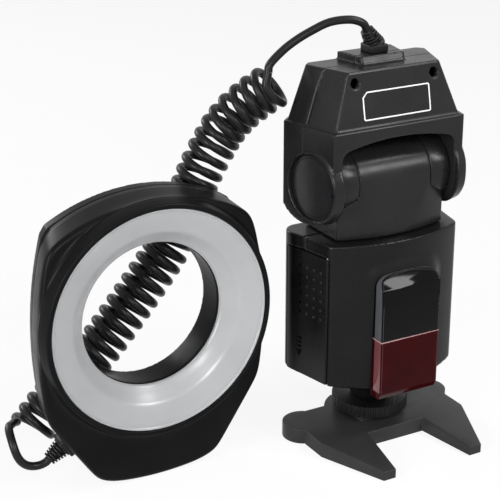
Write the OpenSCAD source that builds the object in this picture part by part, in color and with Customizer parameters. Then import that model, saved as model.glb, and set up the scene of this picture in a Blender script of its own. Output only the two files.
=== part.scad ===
// Macro ring flash: a ring light for close-up work, joined by a curly cord to an upright
// control unit that stands by its hot-shoe foot on a small four-legged base.
// X runs to the right, Y to the back and Z up. The origin is on the floor, on the axis of
// the hot-shoe foot. All sizes are in millimetres.

/* [Control unit] */
// Width of the body across its front corners
unit_w_front = 70; // [66:1:73]
// Width of the body at the seam between its two shells
unit_w_mid = 77; // [75:1:79]
// Width of the body at its back
unit_w_rear = 82; // [80:1:86]
// Distance from the foot axis forward to the front corners
unit_front = 17; // [15:0.5:19]
// Distance from the foot axis back to the rear face
unit_rear = 18; // [17:0.5:20]
// How far the front swells past its corners
front_bow = 8.5; // [6:0.5:11]
// Radius of the two upright front corners
front_corner_r = 5; // [4:0.5:5.5]
// Radius of the two upright rear corners
rear_corner_r = 8; // [6:0.5:9]
// Height of the body
body_h = 75; // [74:1:84]
// How far the underside rises from the foot bracket out to the sides
under_rise = 5.5; // [3:0.5:7]
// Wall of the moulded shells
wall = 2.2; // [1.8:0.1:2.4]
// Distance from the foot axis back to the seam between the shells
seam_y = 1; // [0:0.5:2]

/* [Front window] */
// Width of the front window
window_w = 32; // [26:1:36]
// Height of the red lower window
window_red_h = 29.5; // [24:0.5:32]
// Height of the gloss black upper panel at its middle
window_black_h = 32; // [26:0.5:36]
// How far the window stands out from the swell of the front
window_out = 6.5; // [4:0.5:8]
// Radius of the arched top of the window
window_arch_r = 48; // [36:1:60]
// Radius of the two upper corners of the window
window_corner_r = 5; // [3:0.5:7]
// Height of the bevel along the arched top
window_bevel_h = 7; // [4:0.5:9]
// Depth of the bevel along the arched top
window_bevel_d = 4.5; // [2:0.5:5.5]
// Height of the bevel along the bottom of the window
window_toe = 3; // [1:0.5:4]
// Wall of the hollow red window
window_wall = 2; // [1.2:0.1:2.6]
// Seam between the red window and the black panel
window_seam = 0.4; // [0.2:0.1:0.8]
// Radius of the light sensor behind the red window
sensor_r = 2.6; // [1.5:0.1:4]

/* [Battery bay] */
// Distance from the foot axis forward to the front edge of the door
door_front = 15; // [13:0.2:15.2]
// Distance from the foot axis back to the rear edge of the door
door_rear = 10.4; // [8.6:0.2:11]
// Height of the body above the door
door_head = 6.8; // [5.6:0.2:7.4]
// Thickness of the door
door_t = 2.2; // [1.8:0.1:2.4]
// Gap all round the door
door_gap = 0.4; // [0.3:0.05:0.5]
// Radius of the door's hinge pin
hinge_pin_r = 0.6; // [0.5:0.05:0.7]
// How far the door slides down before it swings open
door_slide = 4; // [3:0.5:4.5]
// Length of a battery cell
cell_l = 50.5; // [49:0.5:51]
// Height of the door above and below the stack of cells
bay_margin = 1.6; // [1.2:0.1:2]
// Least wall between a cell's tube and the edge of the stack
bay_web = 0.15; // [0.1:0.05:0.3]
// Play of a cell in its tube
cell_play = 0.1; // [0.05:0.05:0.1]
// Height of the flash capacitor
capacitor_h = 42; // [30:1:44]

/* [Rear controls] */
// Width of the control panel on the back
panel_w = 56; // [50:1:60]
// Height of the control panel on the back
panel_h = 58; // [56:1:62]
// Thickness of the control panel
panel_t = 0.9; // [0.6:0.1:1.4]
// Radius of a push button
button_r = 4.4; // [3:0.1:5]
// How far a push button stands out of the panel
button_out = 1.3; // [1.1:0.1:2]
// Travel of a push button
button_travel = 0.8; // [0.4:0.1:0.9]
// Distance of a push button from the middle of the panel
button_x = 15; // [12:0.5:17]
// Length of the power switch's knob
switch_l = 7; // [5:0.5:8]
// Width of the power switch's knob
switch_w = 4.4; // [3:0.2:5]
// Travel of the power switch
switch_travel = 5; // [3:0.5:6]
// Radius of a level lamp
lamp_r = 1.3; // [0.8:0.1:1.5]
// Number of level lamps
lamp_count = 8; // [4:1:9]

/* [Neck] */
// Height of the tilt axis above the top of the body
tilt_h = 25; // [24:0.5:27]
// Radius of the barrel round the tilt axis
barrel_r = 16; // [14:0.5:16.5]
// Half the length of the barrel
barrel_half = 30; // [29.6:0.2:31]
// Distance from the middle to the groove near each end of the barrel
barrel_groove = 19.5; // [15:0.5:23]
// Half the width of the saddle under the barrel
saddle_half = 29; // [26:0.5:30]
// How far the front of the saddle stands ahead of the tilt axis
saddle_front = 18.4; // [17:0.2:18.6]
// How far the back of the saddle stands behind the tilt axis
saddle_rear = 14.5; // [12:0.5:15]
// Radius of the hollow swivel post
post_r = 9; // [7:0.5:11]
// Radius of the tilt axle
axle_r = 4; // [3:0.2:5]

/* [Cap] */
// Width of the cap's ridge at the front
cap_w_front = 70; // [69:1:74]
// Width of the cap at the seam between its shells
cap_w_mid = 79; // [78:0.5:80]
// Width of the cap at its back
cap_w_rear = 84; // [81:0.5:86]
// Distance from the tilt axis forward to the ridge
cap_front = 18.3; // [18:0.1:20]
// Distance from the tilt axis back to the rear face
cap_rear = 17.5; // [17:0.5:20]
// Height of the ridge above the tilt axis
ridge_h = 27.5; // [26:0.5:31]
// Ledge between the ridge and the foot of the sloping top
ledge = 1.9; // [1:0.1:2.6]
// Height of the sloping top
crown_h = 25; // [20:0.5:28]
// Width of the sloping top at its upper front edge
crown_w_front = 49; // [44:1:54]
// Width of the sloping top at its upper rear edge
crown_w_rear = 65; // [58:1:68]
// Distance from the tilt axis forward to the upper front edge
crown_front = 11.3; // [9:0.1:13]
// Distance from the tilt axis back to the upper rear edge
crown_rear = 14; // [13:0.5:15.5]
// Radius of each ear round the tilt axis
ear_r = 18.3; // [17.6:0.1:18.6]
// How far the face of each ear's round boss lies inside the cap's side at the seam
boss_in = 1.3; // [0.8:0.1:1.6]
// Angle by which that face turns to the front
ear_turn = 7; // [4:0.5:9]
// Width of the rim round the disc
ear_rim = 1.1; // [0.8:0.1:1.6]
// Radius of the round disc in each ear
disc_r = 15.5; // [12:0.5:16]
// Thickness of each disc
disc_t = 1.6; // [1:0.1:2.2]
// Height of the arched front opening above the tilt axis
arch_h = 21.8; // [20.8:0.2:22.4]
// Radius of the arch
arch_r = 115; // [90:5:140]
// Radius of the two corners of the arch
arch_corner_r = 5; // [3:0.5:7]
// Width of the raised plate that carries the cord, at its front
plate_w = 23; // [18:0.5:26]
// How much further out each side of the plate is at its back
plate_flare = 3; // [1:0.5:5]
// Depth of the plate's sloping front
plate_slope = 1.4; // [0.6:0.2:2.4]
// Depth of the raised plate
plate_d = 16.5; // [13.5:0.5:17]
// Height of the raised plate
plate_h = 3.6; // [2:0.2:5]
// Side of the square cord gland
gland_w = 9.8; // [9.6:0.2:12.8]
// Height of the square cord gland
gland_h = 3.6; // [2:0.2:4]

/* [Ring head] */
// Distance from the foot axis to the middle of the ring
ring_x = 113.5; // [112:0.5:117]
// Distance from the foot axis forward to the front of the diffuser
ring_front = 4.6; // [3:0.2:6]
// Half the width of the housing at its widest
ring_half_w = 55.7; // [54.5:0.1:57]
// Height of the housing above the ring's middle
ring_rise = 54.7; // [53:0.1:56]
// Height of the ring's middle above the floor
ring_drop = 78.8; // [77:0.2:81]
// Radius of the curved top of the housing
ring_top_r = 86; // [78:1:95]
// How much the curved top rises from the housing's face to the seam
top_swell = 1.6; // [0.5:0.1:2]
// Radius of the curved sides of the housing
ring_side_r = 192; // [150:2:240]
// Distance of the widest part of the housing below the ring's middle
ring_waist = 8; // [4:0.5:12]
// Radius of the curved bottom of the housing
ring_bottom_r = 140; // [100:5:200]
// How much each side draws in towards the back
ring_taper = 4; // [0:0.5:5]
// Half the width at the top of the sloping lower corners
cheek_x = 49; // [48:0.2:51]
// Distance of that point below the ring's middle
cheek_z = 46.5; // [43:0.5:49]
// Half the width at the bottom of the sloping lower corners
heel_x = 30.5; // [29:0.5:33]
// Distance of that point below the ring's middle
heel_z = 74; // [72:0.5:76]
// Half the width at the small slope over each upper corner
brow_x = 49.4; // [48:0.2:50]
// Height of that slope above the ring's middle
brow_z = 38.7; // [37.5:0.1:40]
// Distance from the front of the diffuser back to the housing's face
face_d = 6; // [5:0.2:7]
// Distance from the front of the diffuser back to the seam
ring_seam_d = 20; // [19:0.5:20.5]
// Distance from the front of the diffuser to the back of the housing
ring_depth = 26; // [25.5:0.5:29]
// Radius of the diffuser
diffuser_r = 51.9; // [51:0.1:52.4]
// Radius at which the diffuser turns down more steeply
crease_r = 39.5; // [38:0.5:42]
// Depth of the diffuser at that crease
crease_d = 5; // [3:0.5:6]
// Depth of the diffuser at its inner edge
inner_d = 9; // [7:0.5:9.5]
// Wall of the diffuser
diffuser_t = 1.8; // [1.2:0.1:2]
// Width of the raised bezel round the diffuser
bezel_w = 3.8; // [3:0.1:4.6]
// How far the bezel stands ahead of the diffuser
bezel_out = 0.6; // [0.2:0.1:1.2]
// Radius of the hole for the lens
lens_bore_r = 33.4; // [31:0.1:33.6]
// Wall of the sleeve round the lens hole
sleeve_t = 1.8; // [1.2:0.1:2]
// Radius of the flash tube
tube_r = 2.6; // [2:0.1:3]
// Angle that the flash tube runs round
tube_angle = 330; // [300:5:345]

/* [Shoe and base] */
// Width of the hot-shoe foot plate
foot_w = 18.6; // [18.4:0.05:18.7]
// Length of the hot-shoe foot plate
foot_l = 18; // [16:0.5:19]
// Thickness of the hot-shoe foot plate
foot_t = 1.9; // [1.8:0.05:2]
// Radius of the threaded stem above the foot plate
stem_r = 6.1; // [5.6:0.1:6.2]
// Width of the slot between the two lips of the shoe
shoe_slot_w = 12.8; // [12.6:0.1:13.4]
// Thickness of the lips of the shoe
shoe_lip_t = 1.5; // [1.2:0.1:2]
// Outer radius of the lock wheel
wheel_r = 18.3; // [16:0.5:20]
// Height of the lock wheel
wheel_h = 5.4; // [4:0.2:7]
// Number of grip grooves round the lock wheel
wheel_grips = 48; // [24:4:60]
// Height of the bracket between the lock wheel and the body
bracket_h = 12.2; // [8:0.2:14]
// Radius of the bracket where it meets the body
bracket_r = 17; // [15:0.5:18]
// Height of the shoe's floor above the ground
shoe_floor = 6.2; // [6:0.1:7]
// Height of the middle of the base
base_h = 7.5; // [6.8:0.1:8]
// Height of the legs at their tips
leg_tip_h = 4.5; // [3.5:0.1:5.5]
// Distance from the foot axis forward to the tips of the front legs
leg_reach = 54; // [46:1:60]
// Distance from the middle to a front leg's tip
leg_spread = 24.2; // [22:0.2:28]
// Width of a front leg at its tip
leg_tip_w = 6.6; // [5:0.2:9]
// Distance from the foot axis forward to the edge between the front legs
crotch_y = 23; // [21:0.5:26]
// Distance from the middle to the end of each side leg
side_leg_x = 46; // [42:0.5:50]
// Radius of the round end of each side leg
side_leg_r = 10; // [8:0.5:11]
// Radius of the round middle of the base
base_hub_r = 22; // [20:0.5:24]
// Radius of the hollow between a front leg and a side leg
hip_r = 5.5; // [4:0.5:6]
// How far each front leg splays out from its root to its tip
leg_splay = 5; // [3:0.5:6]
// Radius of the hole in the tripod thread insert
thread_r = 2.55; // [2.5:0.05:2.6]
// Depth of the tripod thread
thread_l = 4.4; // [3.6:0.1:4.4]

/* [Cord] */
// Diameter of the cord
cord_d = 3.8; // [3.4:0.1:4]
// Radius of the curls, to the middle of the cord
curl_r = 9; // [8:0.25:9.5]
// Number of curls
curl_count = 34; // [24:1:36]
// Length of the ribbed boot at each end of the cord
boot_l = 8; // [7:0.5:10]
// Radius of a boot at its root
boot_r = 4.7; // [4:0.1:5.2]
// Radius of a boot at its tip
boot_tip_r = 3; // [2.6:0.1:3.4]
// Number of grooves along a boot
boot_grooves = 5; // [3:1:6]
// Lean of the upper boot towards the ring
boot_lean = 34; // [25:1:38]
// Distance of the lower boot below the ring's middle
boot_down = 56; // [54:0.5:62]

/* [Fits] */
// Play between parts that slide
slide_gap = 0.1; // [0.05:0.05:0.15]
// Running clearance of a shaft in its hole
run_gap = 0.06; // [0.02:0.02:0.1]
// Clear gap between moving parts that don't touch
clear_gap = 0.3; // [0.2:0.05:0.4]

/* [Hidden] */
$fn = 48;
big = 300;

// Heights of the stack from the floor up
foot_z = shoe_floor + slide_gap;
lip_z = foot_z + foot_t + slide_gap;
shoe_top = lip_z + shoe_lip_t;
wheel_z = shoe_top + clear_gap;
bracket_z = wheel_z + wheel_h + clear_gap;
body_z = bracket_z + bracket_h;
body_top = body_z + body_h;
neck_z = body_top + clear_gap;
tilt_z = body_top + tilt_h;
ridge_z = tilt_z + ridge_h;
crown_z = ridge_z + crown_h;
plate_z = crown_z + plate_h;
gland_z = plate_z + gland_h;

// The swell of the front is an arc through both front corners
half_front = unit_w_front / 2;
half_mid = unit_w_mid / 2;
half_rear = unit_w_rear / 2;
bow_r = (half_front * half_front + front_bow * front_bow) / (2 * front_bow);
front_y = -unit_front - front_bow;

// Middle of the right front corner's round, which touches the swell and the side
bow_at = [0, front_y + bow_r];
side_dir = unit([half_mid - half_front, seam_y + unit_front]);
side_in = [-side_dir[1], side_dir[0]];
corner_from = [half_front, -unit_front] + front_corner_r * side_in - bow_at;
corner_along = corner_from * side_dir;
corner_slide = -corner_along
    - sqrt(pow(corner_along, 2) - corner_from * corner_from + pow(bow_r - front_corner_r, 2));
corner_at = bow_at + corner_from + corner_slide * side_dir;
corner_out = unit(corner_at - bow_at);
// A hair by which the rounds lie under the faces they run into, so that their edges stay crisp
corner_step = 0.04;

// The window hangs on the front, level with the underside of the body
window_z = body_z;
window_front = front_y - window_out;
window_split = window_z + window_red_h;
window_top = window_split + window_black_h;
window_back = front_y + front_bow / 2;
sensor_z = window_z + window_red_h / 2;
sensor_l = wall + front_bow;

// The door lies flush in the left side
door_z = body_z + under_rise + clear_gap;
door_top = body_top - door_head;
door_h = door_top - door_z;
hinge_r = door_t / 2;
hinge_y = -door_front + hinge_r;
hinge_x = -side_half(hinge_y) + hinge_r;
pin_top = body_top - 0.8;

// The cells lie across the body, one above the other
cell_y = (door_rear - door_front) / 2;
cell_pitch = (door_h - 2 * bay_margin) / 4;
cell_r = cell_pitch / 2 - cell_play - bay_web;
bay_wall = 1;
bay_depth = cell_r + cell_play + bay_wall;
bay_z = door_z + bay_margin;
contact_t = 0.8;
// A door plate joins two cells and reaches this share of a cell past their line each way
contact_reach = 0.65;
spring_room = 0.3;
// The bay starts clear of the door's contact plates, which lie along the sloping side
side_lean = norm([half_mid - half_front, seam_y + unit_front]) / (seam_y + unit_front);
bay_left = -side_half(cell_y - cell_r / 2) + (door_t + contact_t) * side_lean + spring_room;
cell_right = bay_left + cell_l;
bay_right = cell_right + contact_t;
bay_rear = cell_y + bay_depth;
board_t = 1.6;
board_gap = 0.3;
main_board_y = bay_rear + board_gap;
key_board_y = main_board_y + board_t + board_gap;
board_half = half_mid - wall - 4;
// The capacitor fills the room beside the cells, as far as the board behind it
capacitor_room = side_half(cell_y) - wall - bay_right;
capacitor_r = min(capacitor_room / 2 - 3 * clear_gap, bay_depth - slide_gap);
capacitor_x = bay_right + capacitor_r + board_gap;
capacitor_z = body_z + under_rise + wall;
capacitor_rim = 1;
capacitor_top = capacitor_z + capacitor_h + capacitor_rim;
core_w = 1.7 * capacitor_r;
core_d = 13;
core_h = 11;
core_window = 3;
tray_foot_in = 10;
tray_foot_w = 5;
board_boss_r = 2;
board_boss_in = 4;

// The panel of controls lies on the flat of the rear face
panel_z = body_z + (body_h - panel_h) / 2;
panel_y = unit_rear + panel_t;
button_low_z = panel_z + panel_h * 0.34;
button_high_z = panel_z + panel_h * 0.66;
lamp_z = panel_z + panel_h * 0.86;
lamp_pitch = (panel_w - 12) / (lamp_count - 1);
lamp_out = 0.3;
switch_z = panel_z + panel_h * 0.13;
button_root = key_board_y + board_t + button_travel + clear_gap;
flange_t = 1;
flange_out = 1.2;
flange_y = unit_rear - wall - clear_gap - flange_t;
switch_rib = 0.6;

// The cap turns about the barrel
cap_half_front = cap_w_front / 2;
cap_half_mid = cap_w_mid / 2;
cap_half_rear = cap_w_rear / 2;
mouth_half = barrel_half + clear_gap;
mouth_r = barrel_r + clear_gap;
cap_corner = 4;
crown_corner = 3;
plate_y = crown_rear - plate_d / 2 - 1;
gland_corner = 1.5;
cap_screw_r = 2.2;
cap_screw_x = crown_w_front / 2 - 3.4;
cap_screw_z = crown_z - 5;
cap_screw_y = -6;
cap_screw_l = 3;
cap_screw_bore = 4;
screw_slot_l = 2.6;
screw_slot_w = 0.6;
screw_slot_d = 0.7;
boss_x = cap_half_mid - boss_in;
boss_root = cap_half_front - 2;
boss_r = ear_r - 0.3;
axle_half = boss_x - disc_t - axle_r * sin(ear_turn) - slide_gap;
disc_sunk = 0.2;
// Where the front of the saddle runs up to touch the barrel
saddle_rise = tilt_z - neck_z;
saddle_lean = 180 + atan2(saddle_rise, saddle_front) - acos(barrel_r / norm([saddle_front, saddle_rise]));
saddle_touch = [barrel_r * cos(saddle_lean), tilt_z + barrel_r * sin(saddle_lean)];

// The ring's own depth runs back from the front of the diffuser
ring_y = -ring_front;
ring_z = ring_drop;
post_hole_r = 1.3;
ring_post_r = 2.8;
// The upper posts stand just inside the sides, at the seam
seam_draw = ring_taper * (ring_seam_d - face_d) / (ring_depth - face_d);
post_up = 35;
post_side = sqrt(pow(ring_side_r - seam_draw, 2) - pow(post_up + ring_waist, 2));
post_x = ring_half_w - ring_side_r + post_side - wall - ring_post_r - 2 * clear_gap;
low_post_x = 24;
low_post_down = 69;
ring_screw_at = [
    [post_x, post_up], [-post_x, post_up], [low_post_x, -low_post_down], [-low_post_x, -low_post_down]
];
ring_screw_head_r = 2.4;
ring_screw_head_t = 1.6;
ring_back_wall = 3;
lower_boot_d = 17;
lower_collar_r = 5.6;
lower_collar_t = 3.5;
collar_sunk = 2;
brow_angle = 34;
cheek_run = cheek_x - heel_x;
cheek_fall = heel_z - cheek_z;
cheek_angle = atan2(cheek_run, cheek_fall);
cheek_draw = ring_taper * (lower_boot_d - face_d) / (ring_depth - face_d) / cos(cheek_angle);
boot_x = cheek_x - (boot_down - cheek_z) * cheek_run / cheek_fall - cheek_draw;

// Both boots are one shape; the cord leaves each along its axis
upper_boot_at = [0, plate_y, gland_z];
upper_boot_dir = [-sin(boot_lean), 0, cos(boot_lean)];
upper_exit = upper_boot_at + boot_l * upper_boot_dir;
lower_boot_dir = [-cos(cheek_angle), 0, -sin(cheek_angle)];
lower_root = [-ring_x - boot_x, ring_y + lower_boot_d, ring_z - boot_down];
lower_exit = lower_root + (lower_collar_t + boot_l) * lower_boot_dir;

// Middle line of the curly stretch, from the cap down behind the ring
curl_line = [
    [-45.5, 17.5, 171], [-50, 21, 167], [-54, 24, 163], [-58, 27, 158.5], [-62, 29.5, 153],
    [-65.5, 31.5, 147], [-73, 33.5, 133], [-81.5, 34.5, 115], [-90.5, 34.5, 97.5], [-109, 34.5, 74.5],
    [-129, 34.5, 52.5], [-144, 34.5, 39.5], [-153.5, 34.5, 30.5], [-162.5, 34.5, 21]
];
curl_rings = 8;
curl_sides = 6;
// Where on its first and last curl the coil begins and ends, from the back round by the top
curl_begin = 140;
curl_end = 270;
// Where the coil meets the plain stretches, and the way it runs there
curl_start = [-51, 12, 179];
curl_start_dir = unit([-3, -1, -9]);
curl_finish = [-175, 25.5, 30.5];
curl_finish_dir = unit([-6, -7.5, 2]);
// Free points of the two plain stretches
upper_route = [
    [-12.5, 6, 199.5], [-22, 8, 199], [-30.5, 10, 195.5], [-37, 11.5, 192], [-43, 12.5, 188]
];
lower_route = [
    [-172.8, 12.4, 15.2], [-177.1, 11.8, 20], [-178.5, 13, 25.2], [-178.5, 16.8, 29.5]
];
lead_sides = 8;

// Half the width of the body at a given depth, along its two straight side stretches
function side_half(y) = y < seam_y
    ? half_front + (half_mid - half_front) * (y + unit_front) / (seam_y + unit_front)
    : half_mid + (half_rear - half_mid) * (y - seam_y) / (unit_rear - rear_corner_r - seam_y);

// Vector helpers
function unit(v) = v / norm(v);
function across(v, t) = unit(v - (v * t) * t);

// A smooth curve through the points of the curly stretch, at a distance along it
function blend4(a, b, c, d, t) = 0.5 * (2 * b + (c - a) * t + (2 * a - 5 * b + 4 * c - d) * t * t
    + (3 * b - a - 3 * c + d) * t * t * t);
function line_point(i) = let (n = len(curl_line) - 1)
    i < 0 ? 2 * curl_line[0] - curl_line[1]
    : i > n ? 2 * curl_line[n] - curl_line[n - 1] : curl_line[i];
function line_marks(i = 0, s = 0) = i == len(curl_line) - 1 ? [[s, i]]
    : concat([[s, i]], line_marks(i + 1, s + norm(curl_line[i + 1] - curl_line[i])));
curl_marks = line_marks();
curl_length = curl_marks[len(curl_marks) - 1][0];
function curl_axis(s) = let (
        w = lookup(s, curl_marks),
        i = min(floor(w), len(curl_line) - 2))
    blend4(line_point(i - 1), line_point(i), line_point(i + 1), line_point(i + 2), w - i);
function curl_tangent(s) = let (h = 0.4)
    unit(curl_axis(min(s + h, curl_length)) - curl_axis(max(s - h, 0)));

// The curls turn to the left round that curve
curl_turns = curl_count - 1 + (curl_begin + 360 - curl_end) / 360;
curl_steps = round(curl_turns * curl_rings);
function curl_point(u) = let (
        t = curl_tangent(u * curl_length),
        e = across([0, 1, 0], t),
        f = cross(t, e),
        a = curl_begin - 360 * curl_turns * u)
    curl_axis(u * curl_length) + curl_r * (cos(a) * e + sin(a) * f);
curl_body = [for (k = [0 : curl_steps]) curl_point(k / curl_steps)];

// A bend from one point and direction to another
function bend(p, d, q, e, t) = let (m = 1.2 * norm(q - p))
    (1 + 2 * t) * (1 - t) * (1 - t) * p + t * (1 - t) * (1 - t) * m * d
    + t * t * (3 - 2 * t) * q - t * t * (1 - t) * m * e;
curl_in = curl_start + cord_d * curl_start_dir;
curl_out = curl_finish - cord_d * curl_finish_dir;
curl_first_dir = unit(curl_body[1] - curl_body[0]);
curl_last_dir = unit(curl_body[curl_steps] - curl_body[curl_steps - 1]);
// Each end of the coil runs straight for one diameter, then bends into the curls
curl_path = concat(
    [curl_start, curl_in],
    [for (t = [0.25, 0.5, 0.75]) bend(curl_in, curl_start_dir, curl_body[0], curl_first_dir, t)],
    curl_body,
    [for (t = [1 / 3, 2 / 3]) bend(curl_body[curl_steps], curl_last_dir, curl_out, curl_finish_dir, t)],
    [curl_out, curl_finish]);

// Least gap between stretches of the coil that are more than half a curl apart
curl_gap = min([for (k = [0 : len(curl_path) - 6])
    min([for (j = [k + 5 : len(curl_path) - 1]) norm(curl_path[k] - curl_path[j])])]) - cord_d;
echo(least_gap_between_curls = curl_gap);

upper_path = concat(
    [upper_exit, upper_exit + cord_d * upper_boot_dir], upper_route,
    [curl_start - cord_d * curl_start_dir, curl_start]);
lower_path = concat(
    [lower_exit, lower_exit + cord_d * lower_boot_dir], lower_route,
    [curl_finish + cord_d * curl_finish_dir, curl_finish]);

// One closed tube swept along a list of points
function path_dir(p, i) = i == 0 ? unit(p[1] - p[0])
    : i == len(p) - 1 ? unit(p[i] - p[i - 1])
    : unit(unit(p[i + 1] - p[i]) + unit(p[i] - p[i - 1]));
function path_frames(p, i = 0, e = [0, 0, 0]) = i == len(p) ? []
    : let (
        t = path_dir(p, i),
        start = abs(t[1]) < 0.8 ? [0, 1, 0] : [1, 0, 0],
        n = across(i == 0 ? start : e, t))
    concat([[n, cross(t, n)]], path_frames(p, i + 1, n));
module sweep_tube(p, r, sides) {
    frames = path_frames(p);
    rings = len(p);
    points = [for (i = [0 : rings - 1]) for (k = [0 : sides - 1])
        let (a = 360 * k / sides) p[i] + r * (cos(a) * frames[i][0] + sin(a) * frames[i][1])];
    skin = [for (i = [0 : rings - 2]) for (k = [0 : sides - 1])
        let (a = i * sides + k, b = i * sides + (k + 1) % sides)
        for (face = [[a, a + sides, b], [b, a + sides, b + sides]]) face];
    first = [for (k = [1 : sides - 2]) [0, k, k + 1]];
    last = [for (k = [1 : sides - 2]) (rings - 1) * sides * [1, 1, 1] + [0, k + 1, k]];
    polyhedron(points, concat(skin, first, last));
}

// A flat outline drawn in X and Z, given depth along Y
module upright(y0, depth) {
    translate([0, y0 + depth, 0]) rotate([90, 0, 0]) linear_extrude(depth) children();
}

// A flat outline drawn in Y and Z, given width along X
module crosswise(x0, width) {
    translate([x0, 0, 0]) rotate([90, 0, 90]) linear_extrude(width) children();
}

// A round bar along X
module bar_x(x0, length, r) {
    translate([x0, 0, 0]) rotate([0, 90, 0]) cylinder(h = length, r = r);
}

// A round bar along Y
module bar_y(y0, length, r) {
    translate([0, y0 + length, 0]) rotate([90, 0, 0]) cylinder(h = length, r = r);
}

module round_rect(w, h, r) {
    square([w - 2 * r, h], center = true);
    square([w, h - 2 * r], center = true);
    for (sx = [-1, 1]) for (sy = [-1, 1])
        translate([sx * (w / 2 - r), sy * (h / 2 - r)]) circle(r);
}

// A flat outline with straight sides and an arched top whose two corners are rounded
module arched(half, z0, z1, r, corner) {
    corner_x = half - corner;
    corner_z = z1 - r + sqrt(pow(r - corner, 2) - corner_x * corner_x);
    reach = corner_x * r / (r - corner);
    intersection() {
        translate([-reach, z0]) square([2 * reach, z1 - z0]);
        translate([0, z1 - r]) circle(r, $fn = 180);
    }
    translate([-half, z0]) square([2 * half, corner_z - z0]);
    for (s = [-1, 1]) translate([s * corner_x, corner_z]) circle(corner);
}

// Plan of the body, drawn in from its outline by a given amount
module unit_plan(inset = 0) {
    round_r = front_corner_r - inset;
    from_bow = corner_at + round_r * corner_out;
    to_side = corner_at - round_r * side_in;
    intersection() {
        translate(bow_at) circle(bow_r - inset, $fn = 180);
        union() {
            polygon([
                [-from_bow[0], front_y], [from_bow[0], front_y], [from_bow[0], corner_at[1]], to_side,
                [half_mid - inset, seam_y], [half_rear - inset, unit_rear - rear_corner_r],
                [-half_rear + inset, unit_rear - rear_corner_r], [-half_mid + inset, seam_y],
                [-to_side[0], to_side[1]], [-from_bow[0], corner_at[1]]
            ]);
            for (s = [-1, 1]) {
                translate([s * corner_at[0], corner_at[1]]) circle(round_r - corner_step);
                translate([s * (half_rear - rear_corner_r), unit_rear - rear_corner_r])
                    circle(rear_corner_r - inset);
            }
            translate([-half_rear + rear_corner_r, unit_rear - rear_corner_r - 1])
                square([unit_w_rear - 2 * rear_corner_r, rear_corner_r + 1 - inset]);
        }
    }
}

// The body stands on a flat as wide as the bracket, and its underside rises from there
module body_form(inset = 0) {
    slope = under_rise / (half_mid - bracket_r);
    intersection() {
        translate([0, 0, body_z + inset]) linear_extrude(body_h - 2 * inset) unit_plan(inset);
        translate([0, 0, body_z + inset * norm([1, slope])])
            cylinder(h = body_h, r1 = bracket_r, r2 = bracket_r + body_h / slope, $fn = 120);
    }
}

// Everything outside the door's inner face, over the door's stretch of the left side
module door_opening() {
    translate([0, 0, body_z - 1]) linear_extrude(door_top + door_gap - body_z + 1) difference() {
        translate([-big, -door_front - door_gap])
            square([big, door_rear + door_front + 2 * door_gap]);
        unit_plan(max(door_t, wall) + slide_gap);
    }
}

module hinge_boss() {
    intersection() {
        translate([hinge_x, hinge_y, door_top + door_gap])
            cylinder(h = body_top - door_top - door_gap, r = hinge_pin_r + wall);
        body_form();
    }
}

// Four bosses inside the rear shell that back the key board
module board_bosses() {
    y0 = key_board_y + board_t + slide_gap;
    for (s = [-1, 1]) for (z = [panel_z + board_boss_in, panel_z + panel_h - board_boss_in])
        translate([s * (panel_w / 2 - board_boss_in), 0, z])
            bar_y(y0, unit_rear - wall / 2 - y0, board_boss_r);
}

module body_shell(front) {
    difference() {
        union() {
            difference() {
                body_form();
                body_form(wall);
                door_opening();
            }
            if (front) hinge_boss();
            if (!front) board_bosses();
        }
        translate([-big / 2, front ? seam_y : seam_y - big, 0]) cube([big, big, big]);
        translate([0, 0, body_top - wall - 1]) cylinder(h = wall + 2, r = post_r + run_gap);
        if (front) {
            translate([0, 0, sensor_z]) bar_y(front_y - 1, sensor_l + 2, sensor_r + slide_gap);
            translate([hinge_x, hinge_y, door_top])
                cylinder(h = pin_top - door_top, r = hinge_pin_r + run_gap);
        }
        if (!front) {
            for (at = button_places()) translate([at[0], 0, at[1]])
                bar_y(unit_rear - wall - 1, wall + 2, button_r + clear_gap);
            upright(unit_rear - wall - 1, wall + 2) switch_slot();
        }
    }
}

module body_front_shell() { color([0.13, 0.13, 0.14]) body_shell(true); }
module body_rear_shell() { color([0.12, 0.12, 0.13]) body_shell(false); }

// Outline of the front window with its arched top, drawn in by a given amount
module window_outline(inset = 0) {
    arched(window_w / 2 - inset, window_z + inset, window_top - inset, window_arch_r - inset,
        window_corner_r - inset);
}

// Side view of the window: bevelled along the top and under the toe
module window_side(inset = 0) {
    polygon([
        [window_back, window_z - 1 + inset],
        [window_front + window_bevel_d / 2 + inset, window_z - 1 + inset],
        [window_front + inset, window_z + window_toe + inset / 2],
        [window_front + inset, window_top - window_bevel_h - inset / 2],
        [window_front + window_bevel_d + inset, window_top], [window_back, window_top]
    ]);
}

module window_form(inset = 0) {
    difference() {
        intersection() {
            upright(window_front - 1, big / 4) window_outline(inset);
            crosswise(-window_w, 2 * window_w) window_side(inset);
        }
        translate([0, 0, body_z - 2]) linear_extrude(body_h) unit_plan(-slide_gap / 2);
    }
}

module window_panel() {
    color([0.03, 0.03, 0.035]) difference() {
        window_form();
        translate([-big / 2, -big / 2, window_split - big]) cube(big);
    }
}

module red_window() {
    color([0.3, 0.03, 0.05]) difference() {
        window_form();
        intersection() {
            window_form(window_wall);
            translate([-big / 2, -big / 2, window_split - window_wall - big]) cube(big);
        }
        translate([-big / 2, -big / 2, window_split - window_seam]) cube(big);
        translate([0, 0, sensor_z]) bar_y(front_y - 1, sensor_l + 2, sensor_r + slide_gap);
    }
}

module light_sensor() {
    color([0.2, 0.05, 0.06]) translate([0, 0, sensor_z]) bar_y(front_y - 1, sensor_l, sensor_r);
}

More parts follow.
